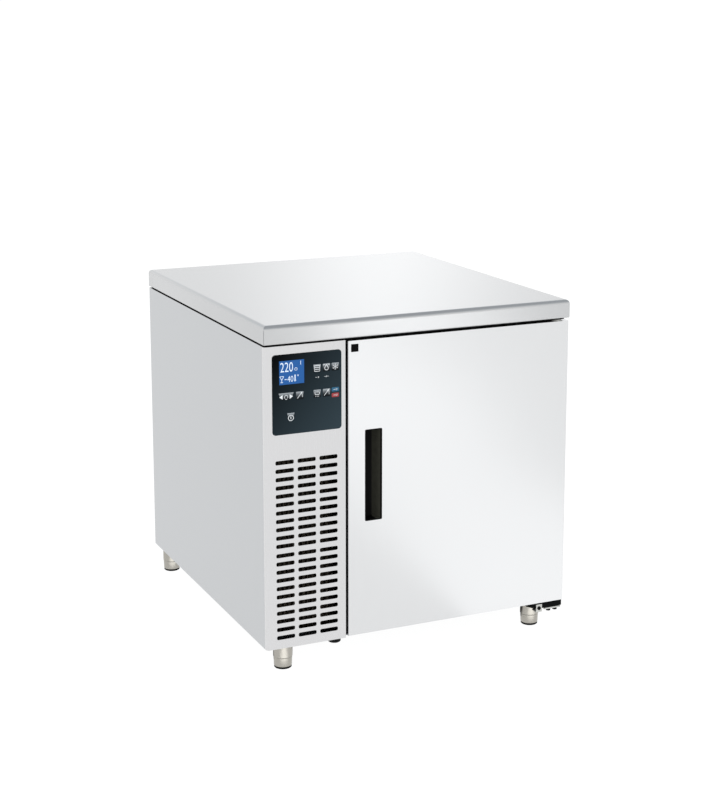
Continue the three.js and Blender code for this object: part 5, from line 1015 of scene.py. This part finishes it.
WASHER = 0.0020
WASHER_RADIUS = 0.0075
HINGE_PLATE = 0.0045
HINGE_CORNER = 0.0020
PLATE_EASE = 0.0006
BOLT_RADIUS = 0.0065
BOLTS_IN = (0.011, 0.030)  # from the plate's right end
low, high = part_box("lower_hinge_plate")
middle = middle_of(low, high)
plate_top = high.z - WASHER
plate_foot = plate_top - HINGE_PLATE
inset = np.array([PLATE_EASE, 0.0, 0.0, PLATE_EASE])
height = [plate_top, plate_top - PLATE_EASE, plate_foot + PLATE_EASE, plate_foot]
hinge_outlines = middle + rounded_rectangle((high.x - low.x) / 2 - inset,
                                            (high.y - low.y) / 2 - inset, HINGE_CORNER)
plate = piece_of("hinge_plate", *skin(layered(hinge_outlines, height)), bright_zinc, "cabinet")
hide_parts("lower_hinge_plate")
for number, bolt_in in enumerate(BOLTS_IN, 1):
    bolt_at = (high.x - bolt_in, middle[1])
    washer = turned(f"hinge_washer_{number}",
                    [(WASHER_RADIUS - 0.0005, high.z), (WASHER_RADIUS, high.z - 0.0004),
                     (WASHER_RADIUS, plate_top)], bolt_at, black_oxide_and_shade, "cabinet")
    bolt = turned(f"hinge_bolt_{number}",
                  [(BOLT_RADIUS, plate_foot), (BOLT_RADIUS, low.z + 0.0008),
                   (BOLT_RADIUS - 0.0008, low.z)], bolt_at, black_oxide_and_shade, "cabinet", steps=6)

# the stop's own screw: a round head 10 mm across with a socket, facing the front
low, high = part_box("door_stop")
stop_head = screw_head(
    [(0.0018, 0.0004), (0.0024, 0.0022), (0.0040, 0.0019), (0.0050, 0.0009), (0.0050, -0.0004)],
    ((low.x + high.x) / 2, low.y, (low.z + high.z) / 2), -1)
stop_screw = piece_of("door_stop_screw", *skin(stop_head), black_oxide_and_shade, "cabinet")


# --- Legs ---------------------------------------------------------------------------------
# Four turned stainless legs: a sleeve screwed up under the pan, a foot screwed into it with a
# rounded end, and a black glide pressed in below, its black also standing for the contact shadow
# there: painted shade. The turning marks run round.

# a dark card lies under the cabinet: painted shade, the cabinet's shadow on the floor. Only
# reflections see it: they give the legs and the cabinet's underside that shade
floor_shade_finish, floor_shade_tree, floor_shade_shader = finish_of("painted_floor_shade")
floor_shade_place = node(floor_shade_tree, "ShaderNodeTexCoord", {}).outputs["Object"]
floor_shade_grain = node(floor_shade_tree, "ShaderNodeTexNoise", {"Vector": floor_shade_place, "Scale": 900.0})
floor_shade_tint = node(floor_shade_tree, "ShaderNodeMix",
                 {0: floor_shade_grain.outputs["Fac"], 6: linear("#1c1b19"), 7: linear("#2a2926")},
                 data_type="RGBA").outputs[2]
floor_shade_shader.inputs["Roughness"].default_value = 0.95
lay_on(floor_shade_tree, floor_shade_shader, floor_shade_tint)
floor_shade_card = flat_sheet("floor_shade", -0.40, 0.41, -0.32, 0.22, 0.0004, floor_shade_finish)
floor_shade_card.visible_camera = floor_shade_card.visible_diffuse = floor_shade_card.visible_shadow = False

TURNING_MARKS = (4.0, 4.0, 650.0)  # marks 0.3 mm apart, drawn 1.5 mm apart so that they show
turned_steel, steel_tree, steel_shader = finish_of("turned_stainless")
steel_place = node(steel_tree, "ShaderNodeTexCoord", {}).outputs["Object"]
ring_place = node(steel_tree, "ShaderNodeMapping",
                  {"Vector": steel_place, "Scale": TURNING_MARKS}).outputs[0]
ring_marks = node(steel_tree, "ShaderNodeTexNoise",
                  {"Vector": ring_place, "Scale": 1.0, "Detail": 2.0}).outputs["Fac"]
steel_tint = node(steel_tree, "ShaderNodeMix",
                  {0: ring_marks, 6: linear("#a19e96"), 7: linear("#b2afa8")},
                  data_type="RGBA").outputs[2]
steel_rough = node(steel_tree, "ShaderNodeMapRange",
                   {"Value": ring_marks, "To Min": 0.28, "To Max": 0.38}).outputs[0]
steel_relief = node(steel_tree, "ShaderNodeBump",
                    {"Height": ring_marks, "Strength": 0.1, "Distance": 0.0002}).outputs[0]
steel_shader.inputs["Metallic"].default_value = 1.0
lay_on(steel_tree, steel_shader, steel_tint, steel_rough, steel_relief)

SLEEVE = 0.0235  # radii
SLEEVE_BORE = 0.0115
FOOT = 0.0220
STEM = 0.0098
STEM_TOP = 0.0615
SLEEVE_FOOT = 0.0280
SHOULDER = SLEEVE_FOOT - 0.0003  # where the foot's shoulder meets the sleeve
FOOT_CURVE = 0.0045
FOOT_CURVE_TOP = 0.0080
SHADE_GLIDE_IN = np.array([0.0052, 0.0016, 0.0008, 0.0008, 0.0020])  # in from the foot's radius
SHADE_GLIDE_Z = np.array([0.0040, 0.0039, 0.0030, 0.0012, 0.0])

curve = np.linspace(0, math.pi / 2, 6)
foot_end = np.column_stack([FOOT - FOOT_CURVE * (1 - np.cos(curve)),
                            FOOT_CURVE_TOP - FOOT_CURVE * np.sin(curve)])
for corner in ("front_left", "front_right", "rear_left", "rear_right"):
    low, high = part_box(f"foot_sleeve_{corner}")
    centre = middle_of(low, high)
    sleeve = turned(f"leg_sleeve_{corner}",
                    [(SLEEVE - LAND, high.z), (SLEEVE, high.z - LAND),
                     (SLEEVE, high.z - 2 * LAND), (SLEEVE, SLEEVE_FOOT + 2 * LAND),
                     (SLEEVE, SLEEVE_FOOT + 0.0008), (SLEEVE - 0.0004, SLEEVE_FOOT + 0.0002),
                     (SLEEVE_BORE, SLEEVE_FOOT + 0.0002), (SLEEVE_BORE, high.z - 0.005)],
                    centre, turned_steel, "cabinet")
    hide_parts(f"foot_sleeve_{corner}")
    foot = turned(f"leg_foot_{corner}",
                  [(STEM, STEM_TOP), (STEM, SHOULDER), (FOOT + 0.0003, SHOULDER),
                   (FOOT + 0.0006, SHOULDER - 0.0003), (FOOT + 0.0006, SHOULDER - 0.0013),
                   (FOOT, 0.0145), (FOOT, 0.0095), *foot_end],
                  centre, turned_steel, f"foot_{corner}")
    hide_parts(f"foot_insert_{corner}")
    # the glide's black also stands for the leg's contact shadow on the floor: painted shade
    glide_shade = turned(f"leg_glide_shade_{corner}", np.column_stack([FOOT - SHADE_GLIDE_IN, SHADE_GLIDE_Z]), centre,
                   black_nylon, f"foot_{corner}")
    # a board of light on the floor in front of each leg draws its upright highlight
    reflector(f"leg_reflector_{corner}", (centre[0] - 0.01, centre[1] - 0.06),
              (centre[0] - 0.08, centre[1] - 0.62), 0.13, 1.3, sleeve, foot)
